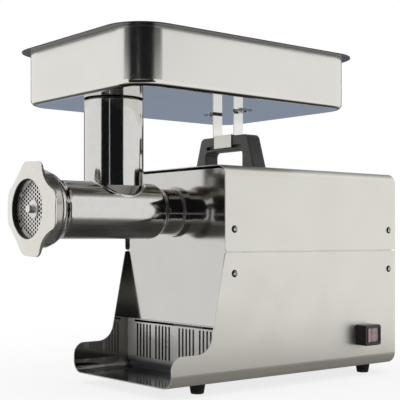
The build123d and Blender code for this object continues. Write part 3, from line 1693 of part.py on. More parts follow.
with BuildPart() as bracket_rivets:
    for x, y in rivet_places:
        with Locations((x, y, pan_z - bracket_sheet)):
            Cylinder(
                rivet_radius,
                bracket_sheet + pan_sheet,
                align=(Align.CENTER, Align.CENTER, Align.MIN),
            )
            Cylinder(
                rivet_head_radius,
                rivet_head_height,
                align=(Align.CENTER, Align.CENTER, Align.MAX),
            )
        with Locations((x, y, pan_z + pan_sheet)):
            Cylinder(
                rivet_head_radius,
                rivet_head_height,
                align=(Align.CENTER, Align.CENTER, Align.MIN),
            )

pieces = {
    "lower_cover": lower_cover,
    "upper_cover": upper_cover,
    "front_panel": front_panel,
    "vent_panel": vent_panel,
    "rear_panel": rear_panel,
    "cover_screws": cover_screws,
    "rubber_feet": rubber_feet,
    "foot_screws": foot_screws,
    "carry_handle": carry_handle,
    "handle_screws": handle_screws,
    "grinder_head": grinder_head,
    "ring_nut": ring_nut,
    "grinder_plate": grinder_plate,
    "plate_pin": plate_pin,
    "knife": knife,
    "auger": auger,
    "auger_stud": auger_stud,
    "thrust_washer": thrust_washer,
    "head_socket": head_socket,
    "socket_screws": socket_screws,
    "lock_screw": lock_screw,
    "lock_knob": lock_knob,
    "gearbox_housing": gearbox_housing,
    "gearbox_cover": gearbox_cover,
    "gearbox_bolts": gearbox_bolts,
    "pedestal_bolts": pedestal_bolts,
    "output_shaft": output_shaft,
    "output_gear": output_gear,
    "pinion_shaft": pinion_shaft,
    "intermediate_gear": intermediate_gear,
    "output_bearings": output_bearings,
    "pinion_bearings": pinion_bearings,
    "motor_housing": motor_housing,
    "motor_screws": motor_screws,
    "stator_core": stator_core,
    "stator_windings": stator_windings,
    "motor_shaft": motor_shaft,
    "rotor_core": rotor_core,
    "cooling_fan": cooling_fan,
    "motor_end_cap": motor_end_cap,
    "end_cap_screws": end_cap_screws,
    "motor_bearings": motor_bearings,
    "motor_cradle": motor_cradle,
    "capacitor": capacitor,
    "capacitor_clip": capacitor_clip,
    "switch_housing": switch_housing,
    "switch_rocker": switch_rocker,
    "cord_gland": cord_gland,
    "circuit_breaker": circuit_breaker,
    "reset_button": reset_button,
    "meat_pan": meat_pan,
    "pan_bracket": pan_bracket,
    "bracket_rivets": bracket_rivets,
}

os.makedirs("parts", exist_ok=True)
for name, piece in pieces.items():
    piece.part.label = name
    export_step(piece.part, f"parts/{name}.step")
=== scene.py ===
import math
from collections import namedtuple

import bpy
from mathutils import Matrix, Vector


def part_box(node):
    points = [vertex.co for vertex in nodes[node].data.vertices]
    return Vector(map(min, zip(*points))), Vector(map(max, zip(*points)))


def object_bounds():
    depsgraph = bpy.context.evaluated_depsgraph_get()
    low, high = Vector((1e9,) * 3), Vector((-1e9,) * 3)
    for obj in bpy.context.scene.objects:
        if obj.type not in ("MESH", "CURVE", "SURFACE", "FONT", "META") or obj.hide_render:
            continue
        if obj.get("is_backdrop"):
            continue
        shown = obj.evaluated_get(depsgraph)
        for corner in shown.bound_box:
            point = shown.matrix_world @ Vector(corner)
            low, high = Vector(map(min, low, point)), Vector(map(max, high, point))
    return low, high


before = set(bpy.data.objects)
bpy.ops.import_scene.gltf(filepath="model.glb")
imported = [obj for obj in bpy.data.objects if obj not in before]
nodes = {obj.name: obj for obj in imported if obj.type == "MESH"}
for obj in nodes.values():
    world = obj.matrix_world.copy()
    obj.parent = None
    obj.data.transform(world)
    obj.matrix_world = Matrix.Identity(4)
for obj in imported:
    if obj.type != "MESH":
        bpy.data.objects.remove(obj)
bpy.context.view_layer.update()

scene = bpy.context.scene
MM = 0.001

# Camera: level, near the height of the seam between the covers, with the frame raised to take in the pan
picture_px = 400
focal_px = 975
raised_px = 37.5
camera_place = (1.0675, -0.8830, 0.2040)
towards_object = Vector((-0.7727, 0.6347, 0.0)).normalized()
camera_data = bpy.data.cameras.new("camera")
camera_data.sensor_width = 36.0
camera_data.lens = focal_px / picture_px * camera_data.sensor_width
camera_data.shift_y = raised_px / picture_px
camera_data.clip_start = 0.05
camera_data.clip_end = 50.0
camera = bpy.data.objects.new("camera", camera_data)
camera.location = camera_place
camera.rotation_mode = "QUATERNION"
camera.rotation_quaternion = towards_object.to_track_quat("-Z", "Y")
scene.collection.objects.link(camera)
scene.camera = camera


def colour(hex_code):
    """An sRGB hex value as the linear colour that sockets take."""
    values = [int(hex_code[i:i + 2], 16) / 255 for i in (1, 3, 5)]
    linear = [v / 12.92 if v <= 0.04045 else ((v + 0.055) / 1.055) ** 2.4 for v in values]
    return (*linear, 1.0)


def add(tree, kind, sockets=(), **settings):
    """One node with its settings, its socket values, and links given as (node, output)."""
    node = tree.nodes.new(kind)
    for key, value in settings.items():
        setattr(node, key, value)
    for key, value in dict(sockets).items():
        if isinstance(value, tuple) and isinstance(value[0], bpy.types.Node):
            tree.links.new(value[0].outputs[value[1]], node.inputs[key])
        else:
            node.inputs[key].default_value = value
    return node


def maths(tree, operation, *values, **settings):
    """One step of arithmetic, on numbers or on links."""
    return add(tree, "ShaderNodeMath", dict(enumerate(values)), operation=operation, **settings)


def vectors(tree, operation, *values):
    """One step of arithmetic on vectors."""
    return add(tree, "ShaderNodeVectorMath", dict(enumerate(values)), operation=operation)


def overlap(tree, first, second):
    """Where both of two masks are 1."""
    return maths(tree, "MULTIPLY", (first, 0), (second, 0))


def ramp(tree, source, start, end, low=0.0, high=1.0, **settings):
    """From low to high while the source goes from start to end, which are cosines on a facing."""
    return add(
        tree, "ShaderNodeMapRange",
        {"Value": source, "From Min": start, "From Max": end, "To Min": low, "To Max": high},
        **settings,
    )


def seen_directly(tree):
    """1 for what the camera sees, also in the steel, and 0 for what only lights."""
    ray = add(tree, "ShaderNodeLightPath")
    direct = maths(tree, "MAXIMUM", (ray, "Is Camera Ray"), (ray, "Is Glossy Ray"))
    return maths(tree, "MAXIMUM", (direct, 0), (ray, "Is Transmission Ray"))


# Noise patterns keep nearly all their values in this span
PATTERN_SPAN = (0.3, 0.7)
# How far a wall or flat turns inward before it counts as the inner side
INSIDE_SPAN = (0.05, 0.4)
# Sheet and cast edges are broken by about this much
EDGE_MM = 0.4
# How much tone and gloss differ from patch to patch
METAL_TONE = (0.97, 1.02)
PLASTIC_TONE = (0.88, 1.12)
GLOSS_WEAR = (0.85, 1.15)


class Finish:
    """One material: its nodes, its shader, and where each point lies and which way it faces."""

    def __init__(self, name):
        self.material = bpy.data.materials.new(name)
        self.material.use_nodes = True
        self.tree = self.material.node_tree
        self.shader = self.tree.nodes["Principled BSDF"]
        coords = add(self.tree, "ShaderNodeTexCoord")
        self.point = (coords, "Object")
        self.normal = (coords, "Normal")
        self.place = add(self.tree, "ShaderNodeSeparateXYZ", {0: self.point})
        self.facing = add(self.tree, "ShaderNodeSeparateXYZ", {0: self.normal})

    def mottle(self, size_mm, detail, softness=0.5):
        """A random pattern with patches of about one size."""
        return add(
            self.tree, "ShaderNodeTexNoise",
            {"Vector": self.point, "Scale": 1 / (size_mm * MM), "Detail": detail, "Roughness": softness},
        )

    def along(self, pattern, low, high):
        """A value that goes from low to high along a random pattern."""
        return ramp(self.tree, (pattern, 0), *PATTERN_SPAN, low, high)

    def tint(self, hex_code, pattern, least, most):
        """The base colour, a little darker and lighter along a pattern."""
        tinted = add(
            self.tree, "ShaderNodeMix",
            {"Factor": 1.0, "A": colour(hex_code), "B": (self.along(pattern, least, most), 0)},
            data_type="RGBA", blend_type="MULTIPLY",
        )
        self.tree.links.new(tinted.outputs["Result"], self.shader.inputs["Base Color"])

    def gloss(self, rough):
        """The roughness that a node gives."""
        self.tree.links.new(rough.outputs[0], self.shader.inputs["Roughness"])

    def relief(self, pattern, strength, depth_mm, broken_edges):
        """Slight hills along a pattern, and edges that catch the light where they are broken."""
        sockets = {"Height": (pattern, 0), "Strength": strength, "Distance": depth_mm * MM}
        if broken_edges:
            edges = add(self.tree, "ShaderNodeBevel", {"Radius": EDGE_MM * MM}, samples=4)
            sockets["Normal"] = (edges, 0)
        hills = add(self.tree, "ShaderNodeBump", sockets)
        self.tree.links.new(hills.outputs["Normal"], self.shader.inputs["Normal"])

    def left_dull(self, mask, hex_code, rough):
        """Where the mask is 1, the surface takes its own colour and gloss: mostly painted shade, painted
        highlights and painted reflections, and in a few places a real change of finish.
        """
        as_it_came = (("Base Color", "RGBA", colour(hex_code)), ("Roughness", "FLOAT", rough))
        for socket, kind, value in as_it_came:
            polished = self.shader.inputs[socket].links[0].from_socket
            mixed = add(self.tree, "ShaderNodeMix", {"Factor": (mask, 0), "B": value}, data_type=kind)
            self.tree.links.new(polished, mixed.inputs["A"])
            self.tree.links.new(mixed.outputs["Result"], self.shader.inputs[socket])

    def show(self, surface):
        """Another shader in the place of the plain one."""
        self.tree.links.new(surface.outputs[0], self.tree.nodes["Material Output"].inputs["Surface"])


# The grain of a sheet: the axis that it runs along, its pitch, length and depth, and its share of the tone.
# Real grain is near 0.05 mm wide, and is drawn ten or more times coarser so that it shows.
Grain = namedtuple("Grain", "axis pitch_mm length_mm depth_mm share")
satin_grain = Grain(axis="Y", pitch_mm=0.7, length_mm=45, depth_mm=0.002, share=0.3)
mill_grain = Grain(axis="X", pitch_mm=0.8, length_mm=60, depth_mm=0.003, share=0.3)
drawn_grain = Grain(axis="Y", pitch_mm=0.8, length_mm=50, depth_mm=0.0008, share=0.08)
strap_grain = Grain(axis="Z", pitch_mm=0.8, length_mm=40, depth_mm=0.003, share=0.3)
wiped_mm = 55


def brushed_sheet(name, hex_code, outer_gloss, inner_gloss, grain, inner_walls=0, inner_flats=0):
    """Stainless sheet: a fine directional grain outside, a smoother mill finish inside, soft edges.

    inner_walls is 1 where walls that face the middle are the smoother side, and inner_flats is 1 or -1
    where flats that face up or down are.
    """
    sheet = Finish(name)
    tree = sheet.tree
    scale = [1 / (grain.pitch_mm * MM)] * 3
    scale["XYZ".index(grain.axis)] = 1 / (grain.length_mm * MM)
    stretched = add(tree, "ShaderNodeMapping", {"Vector": sheet.point, "Scale": scale})
    lines = add(
        tree, "ShaderNodeTexNoise",
        {"Vector": (stretched, 0), "Scale": 1.0, "Detail": 3.0, "Roughness": 0.6},
    )
    wiped = sheet.mottle(wiped_mm, detail=2.0)
    both = add(tree, "ShaderNodeMix", {"Factor": grain.share, "A": (wiped, 0), "B": (lines, 0)})
    sheet.tint(hex_code, both, *METAL_TONE)
    side = maths(tree, "SIGN", (sheet.place, "X"))
    outward = maths(tree, "MULTIPLY", (sheet.facing, "X"), (side, 0))
    walls = maths(tree, "MULTIPLY", (outward, 0), -inner_walls)
    flats = maths(tree, "MULTIPLY", (sheet.facing, "Z"), inner_flats)
    sheet.inside = maths(tree, "MAXIMUM", (walls, 0), (flats, 0))
    polish = ramp(tree, (sheet.inside, 0), *INSIDE_SPAN, outer_gloss, inner_gloss)
    sheet.gloss(maths(tree, "MULTIPLY", (polish, 0), (sheet.along(both, *GLOSS_WEAR), 0)))
    sheet.relief(lines, strength=0.15, depth_mm=grain.depth_mm, broken_edges=True)
    sheet.shader.inputs["Metallic"].default_value = 1.0
    return sheet


def cover_sheet():
    # Brushed stainless: the cover looks satin and even, so it blurs what it mirrors, and has painted shade,
    # darker, along its top bend
    sheet = brushed_sheet(
        "brushed_stainless_cover", "#e3e1d9",
        outer_gloss=0.42, inner_gloss=0.10, grain=satin_grain, inner_walls=1,
    )
    bend_start = ramp(sheet.tree, (sheet.facing, "Z"), 0.5, 0.85)
    bend_end = ramp(sheet.tree, (sheet.facing, "Z"), 0.995, 0.97)
    sheet.left_dull(overlap(sheet.tree, bend_start, bend_end), "#8a8883", rough=0.35)
    return sheet.material


def trough_sheet():
    # Brushed stainless: satin outside, as the upper cover. Inside the trough the sheet is greyer and
    # bright, as rolled, and mirrors the vents; its floor has a painted reflection, blue-grey; behind the
    # front panel it is rough and has painted shade, so the vents look black; its foot bend has a painted
    # highlight, pale, and its underside has painted shade, dark against the floor
    sheet = brushed_sheet(
        "brushed_stainless_trough", "#e2e0d8",
        outer_gloss=0.42, inner_gloss=0.09, grain=satin_grain, inner_walls=1, inner_flats=1,
    )
    tree = sheet.tree
    panel_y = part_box("front_panel")[0][1]
    behind_panel = ramp(tree, (sheet.place, "Y"), panel_y + 1.5 * MM, panel_y + 3 * MM)
    inner_face = ramp(tree, (sheet.inside, 0), *INSIDE_SPAN)
    sheet.left_dull(inner_face, "#9f9d97", rough=0.09)
    trough_floor = ramp(tree, (sheet.facing, "Z"), 0.6, 0.95)
    sheet.left_dull(trough_floor, "#8f9299", rough=0.15)
    sheet.left_dull(overlap(tree, behind_panel, inner_face), "#161616", rough=0.7)
    foot_bend = ramp(tree, (sheet.facing, "Z"), -0.15, -0.5)
    sheet.left_dull(foot_bend, "#f4f1ea", rough=0.65)
    underside = ramp(tree, (sheet.facing, "Z"), -0.9, -0.98)
    sheet.left_dull(underside, "#242423", rough=0.5)
    return sheet.material


def mill_sheet():
    # Mill finish stainless: the front panel is smooth off the roll and mirrors the barrel, softly
    return brushed_sheet(
        "mill_finish_stainless", "#c8c6c3", outer_gloss=0.12, inner_gloss=0.12, grain=mill_grain
    ).material


def vent_sheet():
    # Pickled stainless: the slotted panel scatters more, so the trough shows in it only faintly; it has
    # painted shade, dark, in its slots and along its foot, where it meets the trough's floor
    sheet = brushed_sheet(
        "pickled_stainless", "#cfcdca", outer_gloss=0.3, inner_gloss=0.3, grain=mill_grain
    )
    sheet.shader.inputs["Metallic"].default_value = 0.45
    vent_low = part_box("vent_panel")[0][2]
    foot_strip = ramp(sheet.tree, (sheet.place, "Z"), vent_low + 19 * MM, vent_low + 9 * MM)
    sheet.left_dull(foot_strip, "#4c4d50", rough=0.3)
    across = maths(sheet.tree, "ABSOLUTE", (sheet.facing, "X"))
    slot_walls = ramp(sheet.tree, (across, 0), 0.4, 0.7)
    sheet.left_dull(slot_walls, "#141414", rough=0.6)
    return sheet.material


# The bracket's top lies against the pan's underside
pan_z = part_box("pan_bracket")[1][2]


def pan_sheet():
    # Deep drawn stainless: the pan's walls are satin from polishing and its underside is a mirror; the
    # underside of the turned-out rim, the bottom bend and the root of the spout are rougher and have
    # painted shade, dark
    sheet = brushed_sheet(
        "drawn_stainless_pan", "#dedcd7",
        outer_gloss=0.23, inner_gloss=0.05, grain=drawn_grain, inner_flats=-1,
    )
    tree = sheet.tree
    rim_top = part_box("meat_pan")[1][2]
    rim_sheet = ramp(tree, (sheet.place, "Z"), rim_top - 1.6 * MM, rim_top - 1.3 * MM)
    rim_below = ramp(tree, (sheet.facing, "Z"), 0.4, 0.1)
    sheet.left_dull(overlap(tree, rim_sheet, rim_below), "#454442", rough=0.35)
    bend_start = ramp(tree, (sheet.facing, "Z"), -0.6, -0.75)
    bend_end = ramp(tree, (sheet.facing, "Z"), -0.985, -0.95)
    sheet.left_dull(overlap(tree, bend_start, bend_end), "#2e2d2c", rough=0.3)
    below_pan = ramp(tree, (sheet.place, "Z"), pan_z - 0.1 * MM, pan_z - 0.3 * MM)
    above_lip = ramp(tree, (sheet.place, "Z"), pan_z - 4 * MM, pan_z - 3 * MM)
    sheet.left_dull(overlap(tree, below_pan, above_lip), "#1d1c1b", rough=0.5)
    return sheet.material


def strap_sheet():
    # Bright rolled strap: the bracket is nearly white, with painted shade: a dark line where its flanges
    # meet the pan, a little on faces turned to the front, and a blue-grey tone on its side flanges
    sheet = brushed_sheet(
        "bright_stainless_strap", "#e8e8e6", outer_gloss=0.14, inner_gloss=0.14, grain=strap_grain
    )
    tree = sheet.tree
    front_tab = ramp(tree, (sheet.facing, "Y"), -0.6, -0.9)
    sheet.left_dull(front_tab, "#d0cdc6", rough=0.3)
    flange_line = ramp(tree, (sheet.place, "Z"), pan_z - 2.7 * MM, pan_z - 2.4 * MM)
    sheet.left_dull(flange_line, "#3a3b3d", rough=0.4)
    arm_half = 24.0 * MM
    from_middle = maths(tree, "ABSOLUTE", (sheet.place, "X"))
    flange = ramp(tree, (from_middle, 0), arm_half, arm_half + 0.5 * MM)
    sheet.left_dull(flange, "#6f7681", rough=0.2)
    return sheet.material


haze_mm = 9


def polished_casting(name, hex_code, smooth, rough, wave_mm, wave_depth_mm):
    """Cast or machined metal, ground and buffed, with the slow waviness that buffing leaves."""
    metal = Finish(name)
    wave = metal.mottle(wave_mm, detail=1.0)
    haze = metal.mottle(haze_mm, detail=3.0, softness=0.55)
    metal.gloss(metal.along(haze, smooth, rough))
    metal.tint(hex_code, haze, *METAL_TONE)
    metal.relief(wave, strength=0.5, depth_mm=wave_depth_mm, broken_edges=True)
    metal.shader.inputs["Metallic"].default_value = 1.0
    return metal


# The ring nut turns on the barrel's axis
nut_low, nut_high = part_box("ring_nut")
axis_z = (nut_low[2] + nut_high[2]) / 2


def polished_head():
    # Cast stainless head: buffed to a near mirror on its sides, rougher on top and underneath, where
    # painted shade makes it darker;
    # the throat's top lip has painted shade, dark where the pan sits
    metal = polished_casting(
        "polished_cast_stainless", "#d2d0cd", smooth=0.06, rough=0.12, wave_mm=18, wave_depth_mm=0.06
    )
    tree = metal.tree
    turned_down = ramp(tree, (metal.facing, "Z"), -0.34, -0.5)
    lower_half = ramp(tree, (metal.place, "Z"), axis_z + 4 * MM, axis_z)
    metal.left_dull(overlap(tree, turned_down, lower_half), "#a8a5a0", rough=0.30)
    turned_up = ramp(tree, (metal.facing, "Z"), 0.6, 0.85)
    throat_setback, throat_foot = 75.25 * MM, 42 * MM
    throat_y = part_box("meat_pan")[0][1] + throat_setback
    from_throat = vectors(tree, "SUBTRACT", metal.point, (0, throat_y, 0))
    level = vectors(tree, "MULTIPLY", (from_throat, 0), (1, 1, 0))
    throat_radius = vectors(tree, "LENGTH", (level, 0))
    clear_of_throat = ramp(tree, (throat_radius, "Value"), throat_foot, throat_foot + 2 * MM)
    metal.left_dull(overlap(tree, turned_up, clear_of_throat), "#74716d", rough=0.16)
    lip_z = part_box("grinder_head")[1][2]
    lip = ramp(tree, (metal.place, "Z"), lip_z - 0.5 * MM, lip_z - 0.2 * MM)
    metal.left_dull(lip, "#1d1c1b", rough=0.5)
    return metal.material


def machined_socket():
    # Cast stainless turned in a lathe: the socket's bevel has a painted highlight, a pale ring in front,
    # and the underside has painted shade
    metal = polished_casting(
        "machined_cast_stainless", "#d2d0cd", smooth=0.08, rough=0.14, wave_mm=18, wave_depth_mm=0.04
    )
    bevel = ramp(metal.tree, (metal.facing, "Y"), -0.85, -0.93)
    metal.left_dull(bevel, "#f4f2ee", rough=0.6)
    underside = ramp(metal.tree, (metal.facing, "Z"), -0.34, -0.5)
    metal.left_dull(underside, "#8a8784", rough=0.30)
    return metal.material


def nut_steel():
    # Satin cast stainless: the nut is buffed in front and greyer behind its lobes; its bore has painted
    # shade, dark and rough
    metal = polished_casting(
        "satin_cast_stainless", "#dcd9d2", smooth=0.12, rough=0.18, wave_mm=20, wave_depth_mm=0.03
    )
    tree = metal.tree
    nut_opening = 36.5 * MM
    from_axis = vectors(tree, "SUBTRACT", metal.point, (0, 0, axis_z))
    across = vectors(tree, "MULTIPLY", (from_axis, 0), (1, 0, 1))
    radius = vectors(tree, "LENGTH", (across, 0))
    bore = ramp(tree, (radius, "Value"), nut_opening + 1.1 * MM, nut_opening + 0.6 * MM)
    metal.left_dull(bore, "#3b3836", rough=0.45)
    nut_body = ramp(tree, (metal.place, "Y"), nut_low[1] + 6.5 * MM, nut_low[1] + 8.5 * MM)
    metal.left_dull(nut_body, "#b9b6b0", rough=0.16)
    return metal.material


def screw_steel():
    # Zinc plated steel: a screw is bright on its crown and dark in its recess, with painted shade round the
    # foot of its head
    metal = polished_casting(
        "zinc_plated_steel", "#c4c4c2", smooth=0.10, rough=0.18, wave_mm=3, wave_depth_mm=0.03
    )
    tree = metal.tree
    turned = vectors(tree, "ABSOLUTE", metal.normal)
    turned_xyz = add(tree, "ShaderNodeSeparateXYZ", {0: (turned, 0)})
    larger = maths(tree, "MAXIMUM", (turned_xyz, "X"), (turned_xyz, "Y"))
    largest = maths(tree, "MAXIMUM", (larger, 0), (turned_xyz, "Z"))
    crown_edge = ramp(tree, (largest, 0), 0.90, 0.84)
    metal.left_dull(crown_edge, "#2b2a29", rough=0.35)
    return metal.material


def plate_steel():
    # Ground tool steel: pale and even, with a thin grey film of grease that scatters, and painted shade,
    # dark, in its holes
    metal = polished_casting(
        "ground_plate_steel", "#ece9e5", smooth=0.34, rough=0.46, wave_mm=9, wave_depth_mm=0.01
    )
    metal.shader.inputs["Metallic"].default_value = 0.6
    hole_walls = ramp(metal.tree, (metal.facing, "Y"), -0.8, -0.5)
    metal.left_dull(hole_walls, "#171616", rough=0.5)
    return metal.material


# Metals of the inner pieces: dark oiled knife steel, oiled gear steel, dull stacked sheet, cast aluminium
# with a grainy skin, and copper wire with the gloss of its enamel
knife_steel = polished_casting(
    "oiled_knife_steel", "#4b4a4a", smooth=0.3, rough=0.45, wave_mm=6, wave_depth_mm=0.02
).material
gear_steel = polished_casting(
    "machined_gear_steel", "#8f9092", smooth=0.25, rough=0.4, wave_mm=6, wave_depth_mm=0.02
).material
laminations = polished_casting(
    "stacked_lamination_steel", "#6d6f73", smooth=0.35, rough=0.5, wave_mm=2, wave_depth_mm=0.02
).material
aluminium = polished_casting(
    "sand_cast_aluminium", "#a9abad", smooth=0.4, rough=0.6, wave_mm=2, wave_depth_mm=0.08
).material
copper = polished_casting(
    "enamelled_copper_wire", "#9c4f24", smooth=0.25, rough=0.4, wave_mm=1.2, wave_depth_mm=0.2
).material

scuff_mm = 16
scuff_gloss = 0.06
plastic_ior = 1.5


def moulded_plastic(name, hex_code, rough, grain_mm, grain_depth_mm):
    """Injection-moulded plastic with the fine spark-eroded grain of its mould."""
    plastic = Finish(name)
    grain = plastic.mottle(grain_mm, detail=2.0)
    scuff = plastic.mottle(scuff_mm, detail=3.0)
    plastic.tint(hex_code, scuff, *PLASTIC_TONE)
    plastic.gloss(plastic.along(scuff, rough - scuff_gloss, rough + scuff_gloss))
    plastic.relief(grain, strength=0.4, depth_mm=grain_depth_mm, broken_edges=False)
    plastic.shader.inputs["IOR"].default_value = plastic_ior
    return plastic


def black_plastic():
    # Glass-filled nylon: dark grey and matt with a fine mould grain, and on its sides a little smoother,
    # with painted shade that makes them blacker
    plastic = moulded_plastic(
        "black_glass_filled_nylon", "#5a5a59", rough=0.42, grain_mm=0.7, grain_depth_mm=0.05
    )
    sideways = maths(plastic.tree, "ABSOLUTE", (plastic.facing, "X"))
    smooth_sides = ramp(plastic.tree, (sideways, 0), 0.6, 0.9)
    plastic.left_dull(smooth_sides, "#232324", rough=0.4)
    return plastic.material


def red_plastic():
    # Clear red polycarbonate: the rocker has a painted highlight, pale where its crown faces the light, and
    # is deep red at its edges
    plastic = moulded_plastic(
        "red_polycarbonate", "#6d0f1c", rough=0.14, grain_mm=0.9, grain_depth_mm=0.01
    )
    glare_mm = 4
    glare = plastic.mottle(glare_mm, detail=2.0)
    crown = ramp(plastic.tree, (plastic.facing, "X"), 0.85, 0.95, high=1.3)
    paled = maths(plastic.tree, "MULTIPLY", (crown, 0), (glare, 0), use_clamp=True)
    plastic.left_dull(paled, "#a9999c", rough=0.2)
    return plastic.material


# Other mouldings: glossy black nylon, grey nylon, white acetal, and soft matt rubber
switch_plastic = moulded_plastic(
    "black_switch_nylon", "#1d1c1e", rough=0.3, grain_mm=0.6, grain_depth_mm=0.03
).material
grey_plastic = moulded_plastic(
    "grey_nylon", "#77797c", rough=0.45, grain_mm=0.7, grain_depth_mm=0.04
).material
white_plastic = moulded_plastic(
    "white_acetal", "#e4e2dc", rough=0.35, grain_mm=0.7, grain_depth_mm=0.03
).material
rubber = moulded_plastic(
    "black_rubber", "#1c1c1d", rough=0.7, grain_mm=0.9, grain_depth_mm=0.08
).material

finishes = {
    cover_sheet(): ["upper_cover", "rear_panel"],
    trough_sheet(): ["lower_cover"],
    strap_sheet(): ["pan_bracket"],
    mill_sheet(): ["front_panel", "bracket_rivets"],
    vent_sheet(): ["vent_panel"],
    pan_sheet(): ["meat_pan"],
    polished_head(): ["grinder_head"],
    machined_socket(): ["head_socket", "auger_stud"],
    nut_steel(): ["ring_nut"],
    plate_steel(): ["grinder_plate"],
    knife_steel: ["knife", "auger"],
    screw_steel(): [
        "cover_screws", "foot_screws", "handle_screws", "socket_screws", "lock_screw", "plate_pin",
        "gearbox_bolts", "pedestal_bolts", "motor_screws", "end_cap_screws", "motor_cradle",
        "capacitor_clip",
    ],
    gear_steel: [
        "output_shaft", "output_gear", "pinion_shaft", "intermediate_gear", "motor_shaft",
        "output_bearings", "pinion_bearings", "motor_bearings", "motor_housing",
    ],
    laminations: ["stator_core", "rotor_core"],
    copper: ["stator_windings"],
    aluminium: ["gearbox_housing", "gearbox_cover", "motor_end_cap", "capacitor"],
    black_plastic(): ["carry_handle", "lock_knob"],
    switch_plastic: ["switch_housing", "cord_gland", "circuit_breaker"],
    grey_plastic: ["cooling_fan"],
    white_plastic: ["thrust_washer"],
    red_plastic(): ["switch_rocker", "reset_button"],
    rubber: ["rubber_feet"],
}
for finish, names in finishes.items():
    for name in names:
        nodes[name].data.materials.clear()
        nodes[name].data.materials.append(finish)

WHITE = (1, 1, 1, 1)


def studio_paper():
    # White paper: white to the eye, a little less so near the machine, where it still holds a soft shadow
    paper = Finish("white_studio_paper")
    tree = paper.tree
    paper.shader.inputs["Base Color"].default_value = colour("#efefee")
    paper.shader.inputs["Roughness"].default_value = 0.9
    away = vectors(tree, "LENGTH", paper.point)
    shadow_near, shadow_far = 0.3, 0.9
    fade = ramp(tree, (away, "Value"), shadow_near, shadow_far, low=0.8)
    share = overlap(tree, seen_directly(tree), fade)
    glow = add(tree, "ShaderNodeEmission", {"Color": WHITE, "Strength": 1.0})
    paper.show(add(tree, "ShaderNodeMixShader", {0: (share, 0), 1: (paper.shader, 0), 2: (glow, 0)}))
    return paper.material


# Floor: plain and pale
floor_size = 14
bpy.ops.object.select_all(action="DESELECT")
bpy.ops.mesh.primitive_plane_add(size=floor_size, location=(0, 0, 0))
floor = bpy.context.object
floor.name = "floor"
floor.data.materials.append(studio_paper())
floor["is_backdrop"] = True

# World: white where it is seen or mirrored, a little lower where it only fills
fill_strength = 0.6
world = bpy.data.worlds.new("studio")
scene.world = world
world.use_nodes = True
sky = world.node_tree
fill = sky.nodes["Background"]
fill.inputs["Color"].default_value = WHITE
fill.inputs["Strength"].default_value = fill_strength
white = add(sky, "ShaderNodeBackground", {"Color": WHITE, "Strength": 1.0})
either = add(sky, "ShaderNodeMixShader", {0: (seen_directly(sky), 0), 1: (fill, 0), 2: (white, 0)})
sky.links.new(either.outputs[0], sky.nodes["World Output"].inputs["Surface"])

# Studio cards that the steel mirrors: dark flags round the camera, grey and dark cards behind and in front
to_camera = -towards_object
to_right = Vector((-to_camera.y, to_camera.x, 0.0))


def card_cloth(name, hex_code):
    """Cloth of a studio card, seen only in the steel."""
    cloth = Finish(name)
    cloth.show(add(cloth.tree, "ShaderNodeEmission", {"Color": colour(hex_code), "Strength": 1.0}))
    return cloth.material


def card(name, corners, finish):
    """A flat studio card that shows in reflections alone."""
    mesh = bpy.data.meshes.new(name)
    mesh.from_pydata([tuple(c) for c in corners], [], [tuple(range(len(corners)))])
    made = bpy.data.objects.new(name, mesh)
    scene.collection.objects.link(made)
    mesh.materials.append(finish)
    made.visible_camera = False
    made.visible_diffuse = False
    made.visible_shadow = False
    made.visible_transmission = False
    made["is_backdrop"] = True


def bearing(angle, distance, height=0.0):
    """Point at an angle from the line to the camera, right positive."""
    a = math.radians(angle)
    return (to_camera * math.cos(a) + to_right * math.sin(a)) * distance + Vector((0, 0, height))


black_cloth = card_cloth("black_flag_cloth", "#1a1b1c")
slate_cloth = card_cloth("slate_flag_cloth", "#4a4d54")
grey_cloth = card_cloth("grey_floor_card", "#8a94a5")
flag_near, flag_far = 2.4, 4.2
flag_left, flag_right = -44, 38
gap_left, gap_right = -14, -12.6
lifted, middling, tall = 0.74, 1.9, 3.2
for name, start, end, distance, low, high, cloth in (
    ("flag_left", flag_left, gap_left, flag_near, 0.0, tall, black_cloth),
    ("flag_right", gap_right, flag_right, flag_near, 0.0, tall, black_cloth),
    ("flag_upper_middle", gap_left, gap_right, flag_near, lifted, tall, black_cloth),
    ("flag_upper_left", -62, flag_left, flag_near, lifted, middling, black_cloth),
    ("flag_upper_right", flag_right, 65, flag_near, lifted, middling, black_cloth),
    ("flag_behind_left", 145, 180, flag_far, 0.0, 2.2, slate_cloth),
    ("flag_behind_right", 180, 215, flag_far, 0.0, 2.2, slate_cloth),
):
    corners = ((start, low), (end, low), (end, high), (start, high))
    card(name, [bearing(angle, distance, height) for angle, height in corners], cloth)

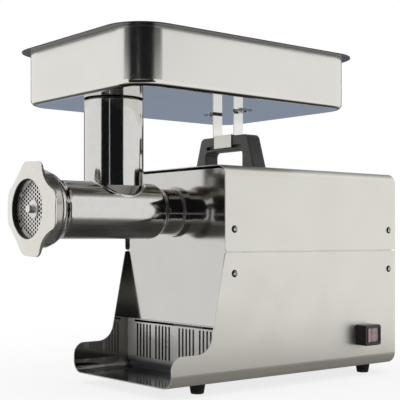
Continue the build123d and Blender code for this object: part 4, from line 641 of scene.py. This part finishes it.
card_height = 0.004
behind_corners = ((145, 1.2), (215, 1.2), (205, 6.0), (155, 6.0))
front_edge = 0.62
front_corners = (
    (flag_left, front_edge), (flag_right, front_edge), (flag_right, flag_near), (flag_left, flag_near)
)
for name, corners, cloth in (
    ("grey_card_behind", behind_corners, grey_cloth),
    ("dark_card_in_front", front_corners, black_cloth),
):
    card(name, [bearing(angle, distance, card_height) for angle, distance in corners], cloth)


def table_top():
    # Grey table top under the machine, fading out, that the downward-facing steel mirrors
    half_width, half_length = 0.5, 0.75
    table = Finish("grey_table_top")
    tree = table.tree
    squashed = add(
        tree, "ShaderNodeMapping",
        {"Vector": table.point, "Scale": (1 / half_width, 1 / half_length, 1.0)},
    )
    away = vectors(tree, "LENGTH", (squashed, 0))
    fade = ramp(tree, (away, "Value"), 0.5, 1.0, interpolation_type="SMOOTHSTEP")
    dark = add(tree, "ShaderNodeEmission", {"Color": colour("#74726f"), "Strength": 1.0})
    clear = add(tree, "ShaderNodeBsdfTransparent")
    table.show(add(tree, "ShaderNodeMixShader", {0: (fade, 0), 1: (dark, 0), 2: (clear, 0)}))
    return table.material


table_reach, table_height = 1.1, 0.002
card("grey_table", [bearing(turn, table_reach, table_height) for turn in (45, 135, 225, 315)], table_top())

# Soft lights: a large one overhead and one on each side
lights_aim = Vector((0, 0, 0.2))
for name, place, size, watts in (
    ("softbox_top", (0.2, -0.5, 2.4), 2.2, 26),
    ("softbox_right", (2.2, 1.2, 1.3), 1.6, 14),
    ("softbox_left", (-1.9, -1.8, 1.3), 1.6, 14),
):
    lamp_data = bpy.data.lights.new(name, "AREA")
    lamp_data.shape = "SQUARE"
    lamp_data.size = size
    lamp_data.energy = watts
    lamp = bpy.data.objects.new(name, lamp_data)
    scene.collection.objects.link(lamp)
    lamp.location = place
    lamp.visible_glossy = False
    lamp.rotation_mode = "QUATERNION"
    lamp.rotation_quaternion = (lights_aim - Vector(place)).to_track_quat("-Z", "Y")

scene.view_settings.view_transform = "Standard"

low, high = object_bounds()
